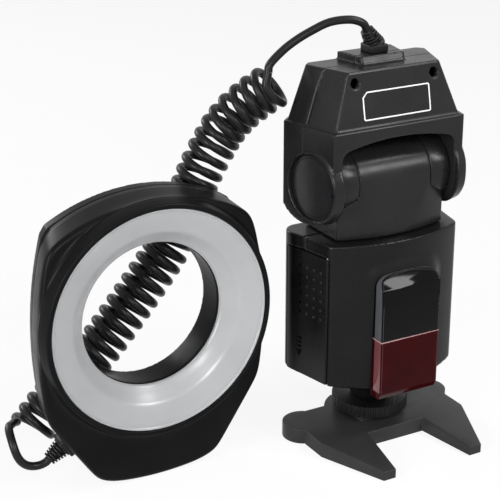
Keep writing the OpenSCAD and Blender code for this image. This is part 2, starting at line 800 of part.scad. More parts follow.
module battery_door() {
    color([0.12, 0.12, 0.13]) difference() {
        union() {
            intersection() {
                translate([0, 0, door_z]) linear_extrude(door_h) difference() {
                    unit_plan();
                    unit_plan(door_t);
                }
                translate([-big, hinge_y, 0]) cube([big, door_rear - hinge_y, big]);
                body_form();
            }
            translate([hinge_x, hinge_y, door_z]) cylinder(h = door_h, r = hinge_r);
        }
        translate([hinge_x, hinge_y, door_z - 1]) cylinder(h = door_h + 2, r = hinge_pin_r + run_gap);
    }
}

// Two bridge plates on the inside of the door, each across two cells
module door_contacts() {
    reach = cell_pitch * contact_reach;
    color([0.75, 0.72, 0.62]) for (i = [0, 1])
        translate([0, 0, bay_z + (2 * i + 1) * cell_pitch]) intersection() {
            translate([0, 0, -reach]) linear_extrude(2 * reach) difference() {
                unit_plan(door_t);
                unit_plan(door_t + contact_t);
            }
            translate([-big, cell_y - cell_r / 2, -big / 2]) cube([big, cell_r, big]);
        }
}

module door_hinge_pin() {
    color([0.7, 0.7, 0.72]) translate([hinge_x, hinge_y, door_z])
        cylinder(h = pin_top - door_z - slide_gap, r = hinge_pin_r);
}

module battery_tray() {
    color([0.16, 0.16, 0.17]) difference() {
        intersection() {
            union() {
                translate([bay_left, cell_y - bay_depth, bay_z])
                    cube([cell_l, 2 * bay_depth, 4 * cell_pitch]);
                for (x = [bay_left + tray_foot_in, cell_right - tray_foot_in - tray_foot_w])
                    translate([x, cell_y - bay_depth, body_z])
                        cube([tray_foot_w, 2 * bay_depth, bay_z - body_z + 1]);
            }
            body_form(wall + slide_gap);
        }
        for (i = [0 : 3]) translate([0, cell_y, bay_z + (i + 0.5) * cell_pitch])
            bar_x(-big, 2 * big, cell_r + cell_play);
    }
}

module battery_cells() {
    color([0.65, 0.66, 0.68]) for (i = [0 : 3])
        translate([bay_left, cell_y, bay_z + (i + 0.5) * cell_pitch]) {
            tip = i % 2 == 0 ? 0 : 1;
            rotate([0, 90, 0]) translate([0, 0, tip]) cylinder(h = cell_l - 1, r = cell_r);
            rotate([0, 90, 0]) cylinder(h = cell_l, r = cell_r * 0.38);
        }
}

// Contact plates on the inner end of the tray
module tray_contacts() {
    color([0.75, 0.72, 0.62]) for (i = [0 : 3])
        translate([cell_right, cell_y - cell_r / 2, bay_z + i * cell_pitch + slide_gap])
            cube([contact_t, cell_r, cell_pitch - 2 * slide_gap]);
}

module flash_capacitor() {
    color([0.1, 0.12, 0.2]) translate([capacitor_x, cell_y, capacitor_z]) {
        cylinder(h = capacitor_h, r = capacitor_r);
        translate([0, 0, capacitor_h]) cylinder(h = capacitor_rim, r = capacitor_r - capacitor_rim);
    }
}

module charge_transformer() {
    color([0.35, 0.25, 0.1])
        translate([capacitor_x - core_w / 2, main_board_y - slide_gap - core_d, capacitor_top + clear_gap])
            difference() {
                cube([core_w, core_d, core_h]);
                for (z = [-1, core_h - core_window]) translate([-1, core_window, z])
                    cube([core_w + 2, core_d - 2 * core_window, core_window + 1]);
            }
}

module main_board() {
    color([0.1, 0.35, 0.2]) translate([-board_half, main_board_y, capacitor_z])
        cube([2 * board_half, board_t, door_top - capacitor_z]);
}

module key_board() {
    color([0.1, 0.35, 0.2]) translate([-panel_w / 2, key_board_y, panel_z])
        cube([panel_w, board_t, panel_h]);
}

function button_places() = [
    [-button_x, button_high_z], [button_x, button_high_z],
    [-button_x, button_low_z], [button_x, button_low_z]
];

module switch_slot() {
    translate([0, switch_z])
        square([switch_l + switch_travel + 2 * clear_gap, switch_w + 2 * clear_gap], center = true);
}

module control_panel() {
    color([0.07, 0.07, 0.08]) difference() {
        upright(unit_rear, panel_t) translate([0, panel_z + panel_h / 2]) round_rect(panel_w, panel_h, 4);
        for (at = button_places()) translate([at[0], 0, at[1]])
            bar_y(unit_rear - 1, panel_t + 2, button_r + clear_gap);
        upright(unit_rear - 1, panel_t + 2) switch_slot();
        for (i = [0 : lamp_count - 1]) lamp_at(i) bar_y(unit_rear - 1, panel_t + 2, lamp_r + slide_gap);
    }
}

module lamp_at(i) {
    translate([(i - (lamp_count - 1) / 2) * lamp_pitch, 0, lamp_z]) children();
}

module level_lamps() {
    color([0.55, 0.1, 0.1]) for (i = [0 : lamp_count - 1])
        lamp_at(i) bar_y(unit_rear, panel_t + lamp_out, lamp_r);
}

module power_switch() {
    color([0.2, 0.2, 0.21]) translate([-switch_travel / 2, 0, switch_z]) {
        upright(flange_y, panel_y + button_out - flange_y) square([switch_l, switch_w], center = true);
        for (i = [-1 : 1]) upright(panel_y + button_out, switch_rib)
            translate([i * switch_l / 4, 0]) square([switch_rib, switch_w], center = true);
        upright(flange_y, flange_t)
            square([switch_l + 2 * flange_out, switch_w + 2 * flange_out], center = true);
    }
}

module push_button(at) {
    translate([at[0], 0, at[1]]) {
        bar_y(button_root, panel_y + button_out - button_root, button_r);
        bar_y(flange_y, flange_t, button_r + flange_out);
    }
}

module minus_button() {
    color([0.2, 0.2, 0.21]) difference() {
        push_button(button_places()[0]);
        translate([-button_x, panel_y + button_out, button_high_z]) cube([4, 0.6, 0.9], center = true);
    }
}

module plus_button() {
    color([0.2, 0.2, 0.21]) difference() {
        push_button(button_places()[1]);
        translate([button_x, panel_y + button_out, button_high_z]) {
            cube([4, 0.6, 0.9], center = true);
            cube([0.9, 0.6, 4], center = true);
        }
    }
}

module mode_button() { color([0.2, 0.2, 0.21]) push_button(button_places()[2]); }
module test_button() { color([0.55, 0.12, 0.1]) push_button(button_places()[3]); }

module foot_bracket() {
    color([0.7, 0.71, 0.73]) rotate_extrude() polygon([
        [0, bracket_z], [stem_r + 3, bracket_z], [bracket_r * 0.7, bracket_z + bracket_h / 2],
        [bracket_r, body_z - 2], [bracket_r, body_z], [0, body_z]
    ]);
}

contact_r = 1.3;
contact_out = 0.6;
contact_l = 3.5;
contact_room = foot_z + foot_t + 4.8;
lock_pin_y = -(stem_r - 2);
lock_pin_r = 0.9;
lock_pin_l = 4.7;
lock_pin_drop = 1.1;
groove_w = 7;
groove_front = 2;
groove_deep = lock_pin_drop - slide_gap + clear_gap;

module shoe_foot() {
    color([0.72, 0.73, 0.75]) difference() {
        union() {
            translate([0, 0, foot_z]) linear_extrude(foot_t) round_rect(foot_w, foot_l, 1.2);
            translate([0, 0, foot_z]) cylinder(h = bracket_z - foot_z, r = stem_r);
        }
        translate([0, 0, foot_z - 1]) cylinder(h = contact_room - foot_z + 1, r = contact_r + run_gap);
        translate([0, lock_pin_y, foot_z - 1])
            cylinder(h = lock_pin_l + lock_pin_drop + 1, r = lock_pin_r + run_gap);
    }
}

module contact_pin() {
    color([0.85, 0.7, 0.35]) translate([0, 0, foot_z - contact_out])
        cylinder(h = contact_l, r = contact_r);
}

// The spring seat above the contact, drawn as a thin sleeve
module contact_spring() {
    z0 = foot_z - contact_out + contact_l;
    color([0.7, 0.7, 0.72]) translate([0, 0, z0]) difference() {
        cylinder(h = contact_room - z0, r = contact_r - 0.2);
        translate([0, 0, -1]) cylinder(h = contact_room - z0 + 2, r = contact_r / 2);
    }
}

module lock_pin() {
    color([0.75, 0.75, 0.77]) translate([0, lock_pin_y, foot_z]) cylinder(h = lock_pin_l, r = lock_pin_r);
}

module lock_wheel() {
    color([0.06, 0.06, 0.065]) difference() {
        translate([0, 0, wheel_z]) cylinder(h = wheel_h, r = wheel_r, $fn = 96);
        translate([0, 0, wheel_z - 1]) cylinder(h = wheel_h + 2, r = stem_r + run_gap);
        for (i = [0 : wheel_grips - 1]) rotate(360 * i / wheel_grips)
            translate([wheel_r + 0.2, 0, wheel_z + wheel_h * 0.18]) cylinder(h = wheel_h, r = 0.7, $fn = 16);
    }
}

// Plan of the base: two long front legs, two short side legs and a rounded back
module base_plan() {
    tip_in = leg_spread - leg_tip_w / 2;
    tip_out = leg_spread + leg_tip_w / 2;
    hip = side_leg_x - hip_r;
    crotch_x = tip_in - leg_splay;
    difference() {
        union() {
            polygon([
                [-tip_out, -leg_reach], [-tip_in, -leg_reach], [-crotch_x, -crotch_y],
                [crotch_x, -crotch_y], [tip_in, -leg_reach], [tip_out, -leg_reach],
                [hip, -crotch_y + 2], [hip, 0], [-hip, 0], [-hip, -crotch_y + 2]
            ]);
            for (s = [-1, 1]) translate([s * (side_leg_x - side_leg_r), side_leg_y]) circle(side_leg_r);
            translate([-side_leg_x + side_leg_r, -crotch_y / 2])
                square([2 * (side_leg_x - side_leg_r), crotch_y / 2 + side_leg_y + side_leg_r * 0.8]);
            circle(base_hub_r);
        }
        for (s = [-1, 1]) translate([s * (side_leg_x + 1), -crotch_y / 2 - 1]) circle(hip_r);
    }
}

side_leg_y = 3;
shoe_half = foot_w / 2 + slide_gap;
shoe_rail = 3;
insert_r = thread_r + 1.3;

module mini_base() {
    color([0.13, 0.13, 0.14]) difference() {
        union() {
            intersection() {
                linear_extrude(base_h) base_plan();
                crosswise(-big / 2, big) polygon([
                    [-leg_reach - 1, 0], [-leg_reach - 1, leg_tip_h], [-crotch_y, base_h],
                    [big / 4, base_h], [big / 4, 0]
                ]);
            }
            translate([-shoe_half - shoe_rail, -foot_l / 2 - shoe_rail, base_h / 2])
                cube([2 * (shoe_half + shoe_rail), foot_l + shoe_rail, shoe_top - base_h / 2]);
        }
        translate([-shoe_half, -foot_l / 2 - slide_gap, shoe_floor])
            cube([2 * shoe_half, big, lip_z - shoe_floor]);
        translate([-shoe_slot_w / 2, -foot_l / 2 - slide_gap, shoe_floor]) cube([shoe_slot_w, big, big]);
        translate([-groove_w / 2, -foot_l / 2 + groove_front, shoe_floor - groove_deep])
            cube([groove_w, big, groove_deep + 1]);
        translate([0, 0, -1]) cylinder(h = thread_l + 1, r = insert_r);
    }
}

module thread_insert() {
    color([0.8, 0.65, 0.35]) difference() {
        cylinder(h = thread_l, r = insert_r);
        translate([0, 0, -1]) cylinder(h = thread_l + 2, r = thread_r);
    }
}

module neck_saddle() {
    color([0.13, 0.13, 0.135]) difference() {
        union() {
            intersection() {
                translate([0, 0, neck_z]) linear_extrude(tilt_h) intersection() {
                    translate([0, bow_r - saddle_front]) circle(bow_r, $fn = 180);
                    translate([-saddle_half, -saddle_front])
                        square([2 * saddle_half, saddle_front + saddle_rear]);
                }
                crosswise(-big / 2, big) polygon([
                    [-saddle_front, neck_z], saddle_touch, [0, tilt_z], [saddle_rear, tilt_z],
                    [saddle_rear, neck_z]
                ]);
            }
            translate([0, 0, tilt_z]) bar_x(-barrel_groove, 2 * barrel_groove, barrel_r);
        }
        for (s = [-1, 1]) translate([0, 0, tilt_z])
            bar_x(s > 0 ? barrel_groove : -barrel_groove - big, big, barrel_r + slide_gap);
        translate([0, 0, tilt_z]) bar_x(-big / 2, big, axle_r + run_gap);
        translate([0, 0, neck_z - 1]) cylinder(h = tilt_h / 3 + 1, r = post_r);
    }
}

// The outer stretches of the barrel, past the grooves
module barrel_collars() {
    length = barrel_half - barrel_groove - slide_gap;
    color([0.12, 0.12, 0.125]) translate([0, 0, tilt_z]) difference() {
        for (s = [-1, 1]) bar_x(s > 0 ? barrel_groove + slide_gap : -barrel_half, length, barrel_r);
        bar_x(-big / 2, big, axle_r + run_gap);
    }
}

// Hollow post of the swivel, held under the top of the body by its flange
module swivel_post() {
    post_z = body_top - wall - clear_gap - flange_t;
    color([0.6, 0.6, 0.62]) translate([0, 0, post_z]) difference() {
        union() {
            cylinder(h = neck_z + tilt_h / 3 - post_z, r = post_r);
            cylinder(h = flange_t, r = post_r + 2.5);
        }
        translate([0, 0, -1]) cylinder(h = tilt_h, r = post_r - 2.5);
    }
}

module tilt_axle() {
    color([0.7, 0.7, 0.72]) translate([0, 0, tilt_z]) bar_x(-axle_half, 2 * axle_half, axle_r);
}

// Plan of the cap at its ridge, drawn in by a given amount
module cap_plan(inset = 0) {
    polygon([
        [-cap_half_front + inset, -cap_front + inset], [cap_half_front - inset, -cap_front + inset],
        [cap_half_mid - inset, seam_y], [cap_half_rear - inset, cap_rear - cap_corner],
        [cap_half_rear - cap_corner, cap_rear - inset], [-cap_half_rear + cap_corner, cap_rear - inset],
        [-cap_half_rear + inset, cap_rear - cap_corner], [-cap_half_mid + inset, seam_y]
    ]);
}

module crown_plan(inset = 0) {
    polygon([
        [-crown_w_front / 2 + inset, -crown_front + inset],
        [crown_w_front / 2 - inset, -crown_front + inset],
        [crown_w_rear / 2 - inset, crown_rear - crown_corner],
        [crown_w_rear / 2 - crown_corner, crown_rear - inset],
        [-crown_w_rear / 2 + crown_corner, crown_rear - inset],
        [-crown_w_rear / 2 + inset, crown_rear - crown_corner]
    ]);
}

// The sloping top, a loft between two plans
module crown_form(inset = 0) {
    slab = 0.2;
    hull() {
        translate([0, 0, ridge_z]) linear_extrude(slab) cap_plan(ledge + inset);
        translate([0, 0, crown_z - inset - slab]) linear_extrude(slab) crown_plan(inset);
    }
}

// The yoke under the ridge: full width above, rounded about the tilt axis below
module yoke_form() {
    intersection() {
        translate([0, 0, tilt_z - ear_r]) linear_extrude(ridge_h + ear_r) cap_plan();
        crosswise(-big / 2, big) union() {
            translate([-big / 2, tilt_z]) square([big, ridge_h + 1]);
            translate([0, tilt_z]) circle(ear_r);
        }
    }
    for (s = [-1, 1]) ear_frame(s) translate([boss_root, 0, 0]) rotate([0, 90, 0])
        cylinder(h = boss_x - boss_root, r1 = boss_r, r2 = disc_r + ear_rim);
}

// Places what is drawn along +X on the left or the right ear, turned a little to the front
module ear_frame(s) {
    translate([0, 0, tilt_z]) mirror([s < 0 ? 1 : 0, 0, 0]) rotate([0, 0, -ear_turn]) children();
}

// Room for the barrel, the saddle and its swing to the front
module yoke_mouth() {
    upright(-big / 2, big / 2)
        arched(mouth_half, tilt_z - 2 * ear_r, tilt_z + arch_h, arch_r, arch_corner_r);
    upright(-big / 2, big) translate([-mouth_half, tilt_z - 2 * ear_r])
        square([2 * mouth_half, 2 * ear_r + 2]);
    translate([0, 0, tilt_z]) bar_x(-mouth_half, 2 * mouth_half, mouth_r);
}

// The raised plate that carries the cord, wider at its back and sloping at its front
module cord_plate() {
    y0 = plate_y - plate_d / 2;
    y1 = plate_y + plate_d / 2;
    rear_half = plate_w / 2 + plate_flare;
    intersection() {
        translate([0, 0, crown_z - 1]) linear_extrude(plate_h + 1) polygon([
            [-plate_w / 2, y0], [plate_w / 2, y0], [rear_half, y1], [-rear_half, y1]
        ]);
        crosswise(-big / 2, big) polygon([
            [y0, crown_z - 1], [y0, crown_z], [y0 + plate_slope, plate_z], [y1, plate_z], [y1, crown_z - 1]
        ]);
    }
}

module cap_shell(front) {
    difference() {
        union() {
            crown_form();
            yoke_form();
            cord_plate();
        }
        yoke_mouth();
        crown_form(wall);
        translate([-big / 2, front ? seam_y : seam_y - big, 0]) cube([big, big, big]);
        for (s = [-1, 1]) ear_frame(s) bar_x(boss_x - disc_t, big, disc_r + slide_gap);
        translate([0, 0, tilt_z]) bar_x(-big / 2, big, axle_r + run_gap);
        if (front) for (s = [-1, 1]) translate([s * cap_screw_x, 0, cap_screw_z])
            bar_y(-big / 2, big / 2 - cap_screw_bore, cap_screw_r);
    }
}

module cap_front_shell() { color([0.12, 0.12, 0.125]) cap_shell(true); }
module cap_rear_shell() { color([0.11, 0.11, 0.115]) cap_shell(false); }

module ear_discs() {
    color([0.14, 0.14, 0.145]) for (s = [-1, 1])
        ear_frame(s) bar_x(boss_x - disc_t, disc_t - disc_sunk, disc_r);
}

module cap_screws() {
    color([0.5, 0.5, 0.52]) for (s = [-1, 1]) translate([s * cap_screw_x, 0, cap_screw_z]) difference() {
        bar_y(cap_screw_y, cap_screw_l, cap_screw_r - slide_gap);
        translate([0, cap_screw_y, 0]) {
            cube([screw_slot_l, 2 * screw_slot_d, screw_slot_w], center = true);
            cube([screw_slot_w, 2 * screw_slot_d, screw_slot_l], center = true);
        }
    }
}

module cord_gland() {
    color([0.1, 0.1, 0.105]) translate([0, plate_y, plate_z])
        linear_extrude(gland_h) round_rect(gland_w, gland_w, gland_corner);
}

// A ribbed strain relief along Z, narrowing to its tip
module boot() {
    step = boot_l / (2 * boot_grooves + 1);
    rotate_extrude() union() {
        polygon([[0, 0], [boot_r - 0.7, 0], [boot_tip_r - 0.5, boot_l], [0, boot_l]]);
        for (i = [0 : boot_grooves]) let (r = boot_r + (boot_tip_r - boot_r) * 2 * i * step / boot_l)
            translate([0, 2 * i * step]) square([r, step]);
    }
}

module upper_boot() {
    color([0.09, 0.09, 0.095]) difference() {
        translate(upper_boot_at) rotate([0, -boot_lean, 0]) boot();
        translate([0, plate_y, gland_z - big]) cylinder(h = big, r = 2 * boot_r);
    }
}

// The lower boot stands on a round collar that follows the slope of the housing
module lower_boot() {
    color([0.09, 0.09, 0.095]) difference() {
        translate(lower_root) rotate([0, -90 - cheek_angle, 0]) {
            translate([0, 0, -collar_sunk]) cylinder(h = lower_collar_t + collar_sunk, r = lower_collar_r);
            translate([0, 0, lower_collar_t]) boot();
        }
        ring_form(face_d, ring_depth);
    }
}

// The housing of the ring between two depths, drawn in by a given amount. The sides are
// cones and the lower corners are leaning planes, so both draw in towards the back.
module ring_form(d0, d1, inset = 0) {
    length = d1 - d0;
    function draw_in(d) = ring_taper * (d - face_d) / (ring_depth - face_d) + inset;
    function top_r(d) = ring_top_r + top_swell * min(1, (d - face_d) / (ring_seam_d - face_d)) - inset;
    translate([-ring_x, ring_y, ring_z]) difference() {
        intersection() {
            translate([0, 0, ring_rise - ring_top_r]) cone_y(d0, length, top_r(d0), top_r(d1));
            translate([0, 0, ring_bottom_r - ring_drop])
                bar_y(d0, length, ring_bottom_r - inset, $fn = 180);
            ring_side(1) cone_y(d0, length, ring_side_r - draw_in(d0), ring_side_r - draw_in(d1));
            ring_side(-1) cone_y(d0, length, ring_side_r - draw_in(d0), ring_side_r - draw_in(d1));
        }
        for (side = [0, 1]) mirror([side, 0, 0]) {
            leaning_cut([cheek_x, -cheek_z], cheek_angle, inset, ring_taper);
            leaning_cut([heel_x, -heel_z], (90 + cheek_angle) / 2, inset, ring_taper / 2);
            leaning_cut([brow_x, brow_z], -brow_angle, inset, ring_taper / 2);
        }
    }
}

// Removes what lies outside a plane through a point of the front outline. The plane faces
// the given angle below the horizontal and draws in by a given amount towards the back.
module leaning_cut(at, facing, inset, taper) {
    lean = atan2(taper, ring_depth - face_d);
    translate([at[0], face_d, at[1]]) rotate([0, facing, 0]) rotate([0, 0, lean])
        translate([-inset, -big / 2, -big / 2]) cube(big);
}

// Places the cone of the right or the left side
module ring_side(side) {
    translate([side * (ring_half_w - ring_side_r), 0, -ring_waist]) children();
}

// A cone along Y
module cone_y(d0, length, r_front, r_back) {
    translate([0, d0 + length, 0]) rotate([90, 0, 0])
        cylinder(h = length, r1 = r_back, r2 = r_front, $fn = 240);
}

// A turned shape about the ring's axis; profile points are radius and depth
module ring_turn(angle = 360) {
    translate([-ring_x, ring_y, ring_z]) rotate([-90, 0, 0])
        rotate_extrude(angle = angle, $fn = 120) children();
}

module ring_hole(d0, d1, r) {
    translate([-ring_x, 0, ring_z]) bar_y(ring_y + d0, d1 - d0, r);
}

module ring_posts(d0, d1, r) {
    for (at = ring_screw_at) translate([-ring_x + at[0], 0, ring_z + at[1]]) bar_y(ring_y + d0, d1 - d0, r);
}

// A small board stands on two pegs of the rear shell, below the lens hole
peg_x = 15;
peg_r = 2.5;
peg_d = ring_seam_d - 0.5;
trigger_z = 66;
trigger_board_w = 39;
trigger_board_h = 15;
trigger_board_d = peg_d - board_t;
trigger_coil_r = 4;
trigger_coil_l = 13;

bezel_r = diffuser_r + bezel_w;
bezel_lean = 1.6;
seat_r = diffuser_r + slide_gap;
seat_w = 2;
seat_d = diffuser_t + slide_gap;
diffuser_in = lens_bore_r + clear_gap + slide_gap;

module ring_front_shell() {
    color([0.1, 0.1, 0.105]) difference() {
        union() {
            difference() {
                ring_form(face_d, ring_seam_d);
                ring_form(face_d + wall, ring_seam_d + 1, wall);
            }
            ring_posts(face_d + wall / 2, ring_seam_d, ring_post_r);
            ring_turn() polygon([
                [seat_r, -bezel_out], [bezel_r - bezel_lean, -bezel_out], [bezel_r, face_d],
                [bezel_r, face_d + wall], [seat_r - seat_w, face_d + wall], [seat_r - seat_w, seat_d],
                [seat_r, seat_d]
            ]);
        }
        ring_hole(seat_d, ring_seam_d, seat_r - seat_w);
        ring_hole(-bezel_out - 1, seat_d, seat_r);
        ring_posts(face_d + wall, ring_seam_d + 1, post_hole_r);
    }
}

sleeve_front = inner_d + diffuser_t + slide_gap;

module ring_rear_shell() {
    color([0.09, 0.09, 0.095]) difference() {
        union() {
            difference() {
                ring_form(ring_seam_d, ring_depth);
                ring_form(ring_seam_d - 1, ring_depth - ring_back_wall, wall);
            }
            ring_hole(sleeve_front, ring_depth, lens_bore_r + sleeve_t);
            for (s = [-1, 1]) translate([-ring_x + s * peg_x, 0, ring_z - trigger_z])
                bar_y(ring_y + peg_d, ring_depth - ring_back_wall / 2 - peg_d, peg_r);
        }
        ring_hole(sleeve_front - 1, ring_depth + 1, lens_bore_r);
        ring_posts(ring_depth - ring_back_wall - 1, ring_depth + 1, post_hole_r);
        ring_posts(ring_depth - ring_screw_head_t - 0.4, ring_depth + 1, ring_screw_head_r + slide_gap);
    }
}

module ring_diffuser() {
    color([0.85, 0.87, 0.88]) ring_turn() polygon([
        [diffuser_r, 0], [diffuser_r - seat_w, 0], [crease_r, crease_d], [diffuser_in, inner_d],
        [diffuser_in, inner_d + diffuser_t], [crease_r + diffuser_t / 3, crease_d + diffuser_t],
        [diffuser_r - seat_w - slide_gap, diffuser_t], [diffuser_r, diffuser_t]
    ]);
}

// The reflector is a trough round the sleeve, on four feet
reflector_gap = 1;
reflector_in = lens_bore_r + sleeve_t + reflector_gap;
reflector_out = seat_r - seat_w - reflector_gap - slide_gap;
reflector_d = ring_seam_d - diffuser_t;
reflector_t = 0.7;
reflector_lip = sleeve_front + reflector_t;
reflector_foot_r = 2;

module ring_reflector() {
    color([0.8, 0.81, 0.83]) {
        ring_turn() polygon([
            [reflector_in, reflector_lip], [reflector_in + reflector_t, reflector_lip],
            [reflector_in + reflector_t, reflector_d - reflector_t],
            [reflector_out - reflector_t, reflector_d - reflector_t],
            [reflector_out - reflector_t, crease_d], [reflector_out, crease_d],
            [reflector_out, reflector_d], [reflector_in, reflector_d]
        ]);
        for (a = [45 : 90 : 315]) translate([-ring_x, ring_y + reflector_d, ring_z]) rotate([0, a, 0])
            translate([(reflector_in + reflector_out) / 2, 0, 0])
                bar_y(0, ring_depth - ring_back_wall - reflector_d - slide_gap, reflector_foot_r);
    }
}

module flash_tube() {
    color([0.9, 0.92, 0.95]) translate([-ring_x, 0, ring_z]) rotate([0, 90 + (360 - tube_angle) / 2, 0])
        translate([ring_x, 0, -ring_z]) ring_turn(tube_angle)
            translate([(reflector_in + reflector_out) / 2, reflector_d - reflector_t - tube_r - clear_gap])
                circle(tube_r);
}

module trigger_board() {
    color([0.1, 0.35, 0.2])
        translate([-ring_x, ring_y + trigger_board_d + board_t / 2, ring_z - trigger_z])
            cube([trigger_board_w, board_t, trigger_board_h], center = true);
}

module trigger_coil() {
    color([0.45, 0.3, 0.12])
        translate([-ring_x, ring_y + trigger_board_d - trigger_coil_r, ring_z - trigger_z]) {
            bar_x(-trigger_coil_l / 2, trigger_coil_l, trigger_coil_r - slide_gap);
            for (x = [-1, 1]) bar_x(x * trigger_coil_l / 2 - flange_t / 2, flange_t, trigger_coil_r);
        }
}

module ring_screws() {
    color([0.5, 0.5, 0.52]) {
        ring_posts(ring_depth - ring_screw_head_t - 0.4, ring_depth - 0.4, ring_screw_head_r);
        ring_posts(ring_seam_d - 5, ring_depth - ring_screw_head_t, post_hole_r - slide_gap);
    }
}

module lead_upper() { color([0.1, 0.1, 0.105]) sweep_tube(upper_path, cord_d / 2, lead_sides); }
module curly_cord() { color([0.1, 0.1, 0.105]) sweep_tube(curl_path, cord_d / 2, curl_sides); }
module lead_lower() { color([0.1, 0.1, 0.105]) sweep_tube(lower_path, cord_d / 2, lead_sides); }

body_front_shell();
body_rear_shell();
window_panel();
red_window();
light_sensor();
battery_door();
door_contacts();
door_hinge_pin();
battery_tray();
battery_cells();
tray_contacts();
flash_capacitor();
charge_transformer();
main_board();
key_board();
control_panel();
level_lamps();
power_switch();
minus_button();
plus_button();
mode_button();
test_button();
foot_bracket();
shoe_foot();
contact_pin();
contact_spring();
lock_pin();
lock_wheel();
mini_base();
thread_insert();
neck_saddle();
barrel_collars();
swivel_post();
tilt_axle();
cap_front_shell();
cap_rear_shell();
ear_discs();
cap_screws();
cord_gland();
upper_boot();
ring_front_shell();
ring_rear_shell();
ring_diffuser();
ring_reflector();
flash_tube();
trigger_board();
trigger_coil();
ring_screws();
lower_boot();
lead_upper();
curly_cord();
lead_lower();
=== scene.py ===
"""Macro ring flash: a ring light on a curly cord, with its control unit on a small base."""
import math

import bmesh
import bpy
from mathutils import Matrix, Vector


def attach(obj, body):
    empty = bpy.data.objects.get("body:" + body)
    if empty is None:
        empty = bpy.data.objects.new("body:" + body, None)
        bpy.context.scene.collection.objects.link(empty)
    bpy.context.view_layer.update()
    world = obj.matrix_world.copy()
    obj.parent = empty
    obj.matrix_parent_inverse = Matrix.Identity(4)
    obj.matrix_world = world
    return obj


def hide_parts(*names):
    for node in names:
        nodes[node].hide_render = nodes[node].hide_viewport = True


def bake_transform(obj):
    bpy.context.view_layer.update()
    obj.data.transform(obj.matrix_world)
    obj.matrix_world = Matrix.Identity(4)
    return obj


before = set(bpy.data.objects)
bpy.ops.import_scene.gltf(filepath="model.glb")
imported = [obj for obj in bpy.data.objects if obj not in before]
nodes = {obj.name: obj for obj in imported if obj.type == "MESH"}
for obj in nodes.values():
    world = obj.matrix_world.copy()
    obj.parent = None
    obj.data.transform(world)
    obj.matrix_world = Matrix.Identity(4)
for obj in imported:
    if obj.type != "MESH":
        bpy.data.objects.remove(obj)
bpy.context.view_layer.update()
MM = 0.001


# Camera, fitted to the photograph: 29.5 degrees to the left of the front and 21.2 degrees up
CAMERA_TURN, CAMERA_RISE = math.radians(29.47), math.radians(21.16)
CAMERA_AT = (-0.3747, -0.5445, 0.3443)
CAMERA_LENS, SENSOR_W = 107.9, 36
CLIP_NEAR, CLIP_FAR = 0.01, 20


def make_camera():
    level = math.cos(CAMERA_RISE)
    back = Vector((-math.sin(CAMERA_TURN) * level, -math.cos(CAMERA_TURN) * level,
                   math.sin(CAMERA_RISE)))
    right = Vector((math.cos(CAMERA_TURN), -math.sin(CAMERA_TURN), 0))
    up = back.cross(right)
    data = bpy.data.cameras.new("camera")
    data.sensor_fit = "HORIZONTAL"
    data.sensor_width = SENSOR_W
    data.lens = CAMERA_LENS
    data.clip_start = CLIP_NEAR
    data.clip_end = CLIP_FAR
    cam = bpy.data.objects.new("camera", data)
    turned = Matrix((right, up, back)).transposed().to_4x4()
    cam.matrix_world = Matrix.Translation(CAMERA_AT) @ turned
    bpy.context.scene.collection.objects.link(cam)
    bpy.context.scene.camera = cam


make_camera()


# Shader helpers. Most of a noise's values lie between these two, and ramps run over them
NOISE_LOW, NOISE_HIGH = 0.3, 0.7


def new_material(name):
    mat = bpy.data.materials.new(name)
    mat.use_nodes = True
    tree = mat.node_tree
    return mat, tree, tree.nodes["Principled BSDF"]


def link(tree, a, out, b, into):
    tree.links.new(a.outputs[out], b.inputs[into])


def noise(tree, coords, scale, detail, rough=0.5):
    node = tree.nodes.new("ShaderNodeTexNoise")
    node.inputs["Scale"].default_value = scale
    node.inputs["Detail"].default_value = detail
    node.inputs["Roughness"].default_value = rough
    link(tree, coords, "Object", node, "Vector")
    return node


def ramp(tree, source, stops):
    """A colour ramp over a noise, from two stops of position and colour."""
    node = tree.nodes.new("ShaderNodeValToRGB")
    for element, (at, colour) in zip(node.color_ramp.elements, stops):
        element.position = at
        element.color = (*colour, 1)
    link(tree, source, "Fac", node, "Fac")
    return node


def spread(tree, source, low, high):
    """A ramp from one value to another over the middle of a noise's range."""
    return ramp(tree, source, [(NOISE_LOW, low), (NOISE_HIGH, high)])


def grey(v):
    return (v, v, v)


def bump(tree, source, shader, strength, distance):
    node = tree.nodes.new("ShaderNodeBump")
    node.inputs["Strength"].default_value = strength
    node.inputs["Distance"].default_value = distance
    link(tree, source, "Fac", node, "Height")
    link(tree, node, "Normal", shader, "Normal")


PLASTIC_IOR, GRAIN_DEPTH, GRAIN_ROUGH = 1.5, 0.00004, 0.6
# Gloss varies in finer patches than the colour, between a little less and a little more rough
GLOSS_RATIO, ROUGH_LESS, ROUGH_MORE = 2.3, 0.05, 0.06


def moulded(name, dark, light, rough, grain=2600, strength=0.25, patch=35, specular=0.14):
    """Moulded plastic: faint cloudy colour, a fine spark-eroded grain and uneven gloss."""
    mat, tree, shader = new_material(name)
    coords = tree.nodes.new("ShaderNodeTexCoord")
    colour = spread(tree, noise(tree, coords, patch, 4), dark, light)
    link(tree, colour, "Color", shader, "Base Color")
    smear = noise(tree, coords, patch * GLOSS_RATIO, 5)
    gloss = spread(tree, smear, grey(rough - ROUGH_LESS), grey(rough + ROUGH_MORE))
    link(tree, gloss, "Color", shader, "Roughness")
    bump(tree, noise(tree, coords, grain, 2, GRAIN_ROUGH), shader, strength, GRAIN_DEPTH)
    shader.inputs["IOR"].default_value = PLASTIC_IOR
    shader.inputs["Specular IOR Level"].default_value = specular
    return mat


FLOW_SCALE, SMEAR_SCALE, SMEAR_HIGH, SMEAR_TIMES = 60, 240, 0.75, 1.6
WAVE_SCALE, WAVE_STRENGTH, WAVE_DEPTH, CLEAR_IOR = 90, 0.05, 0.0001, 1.52


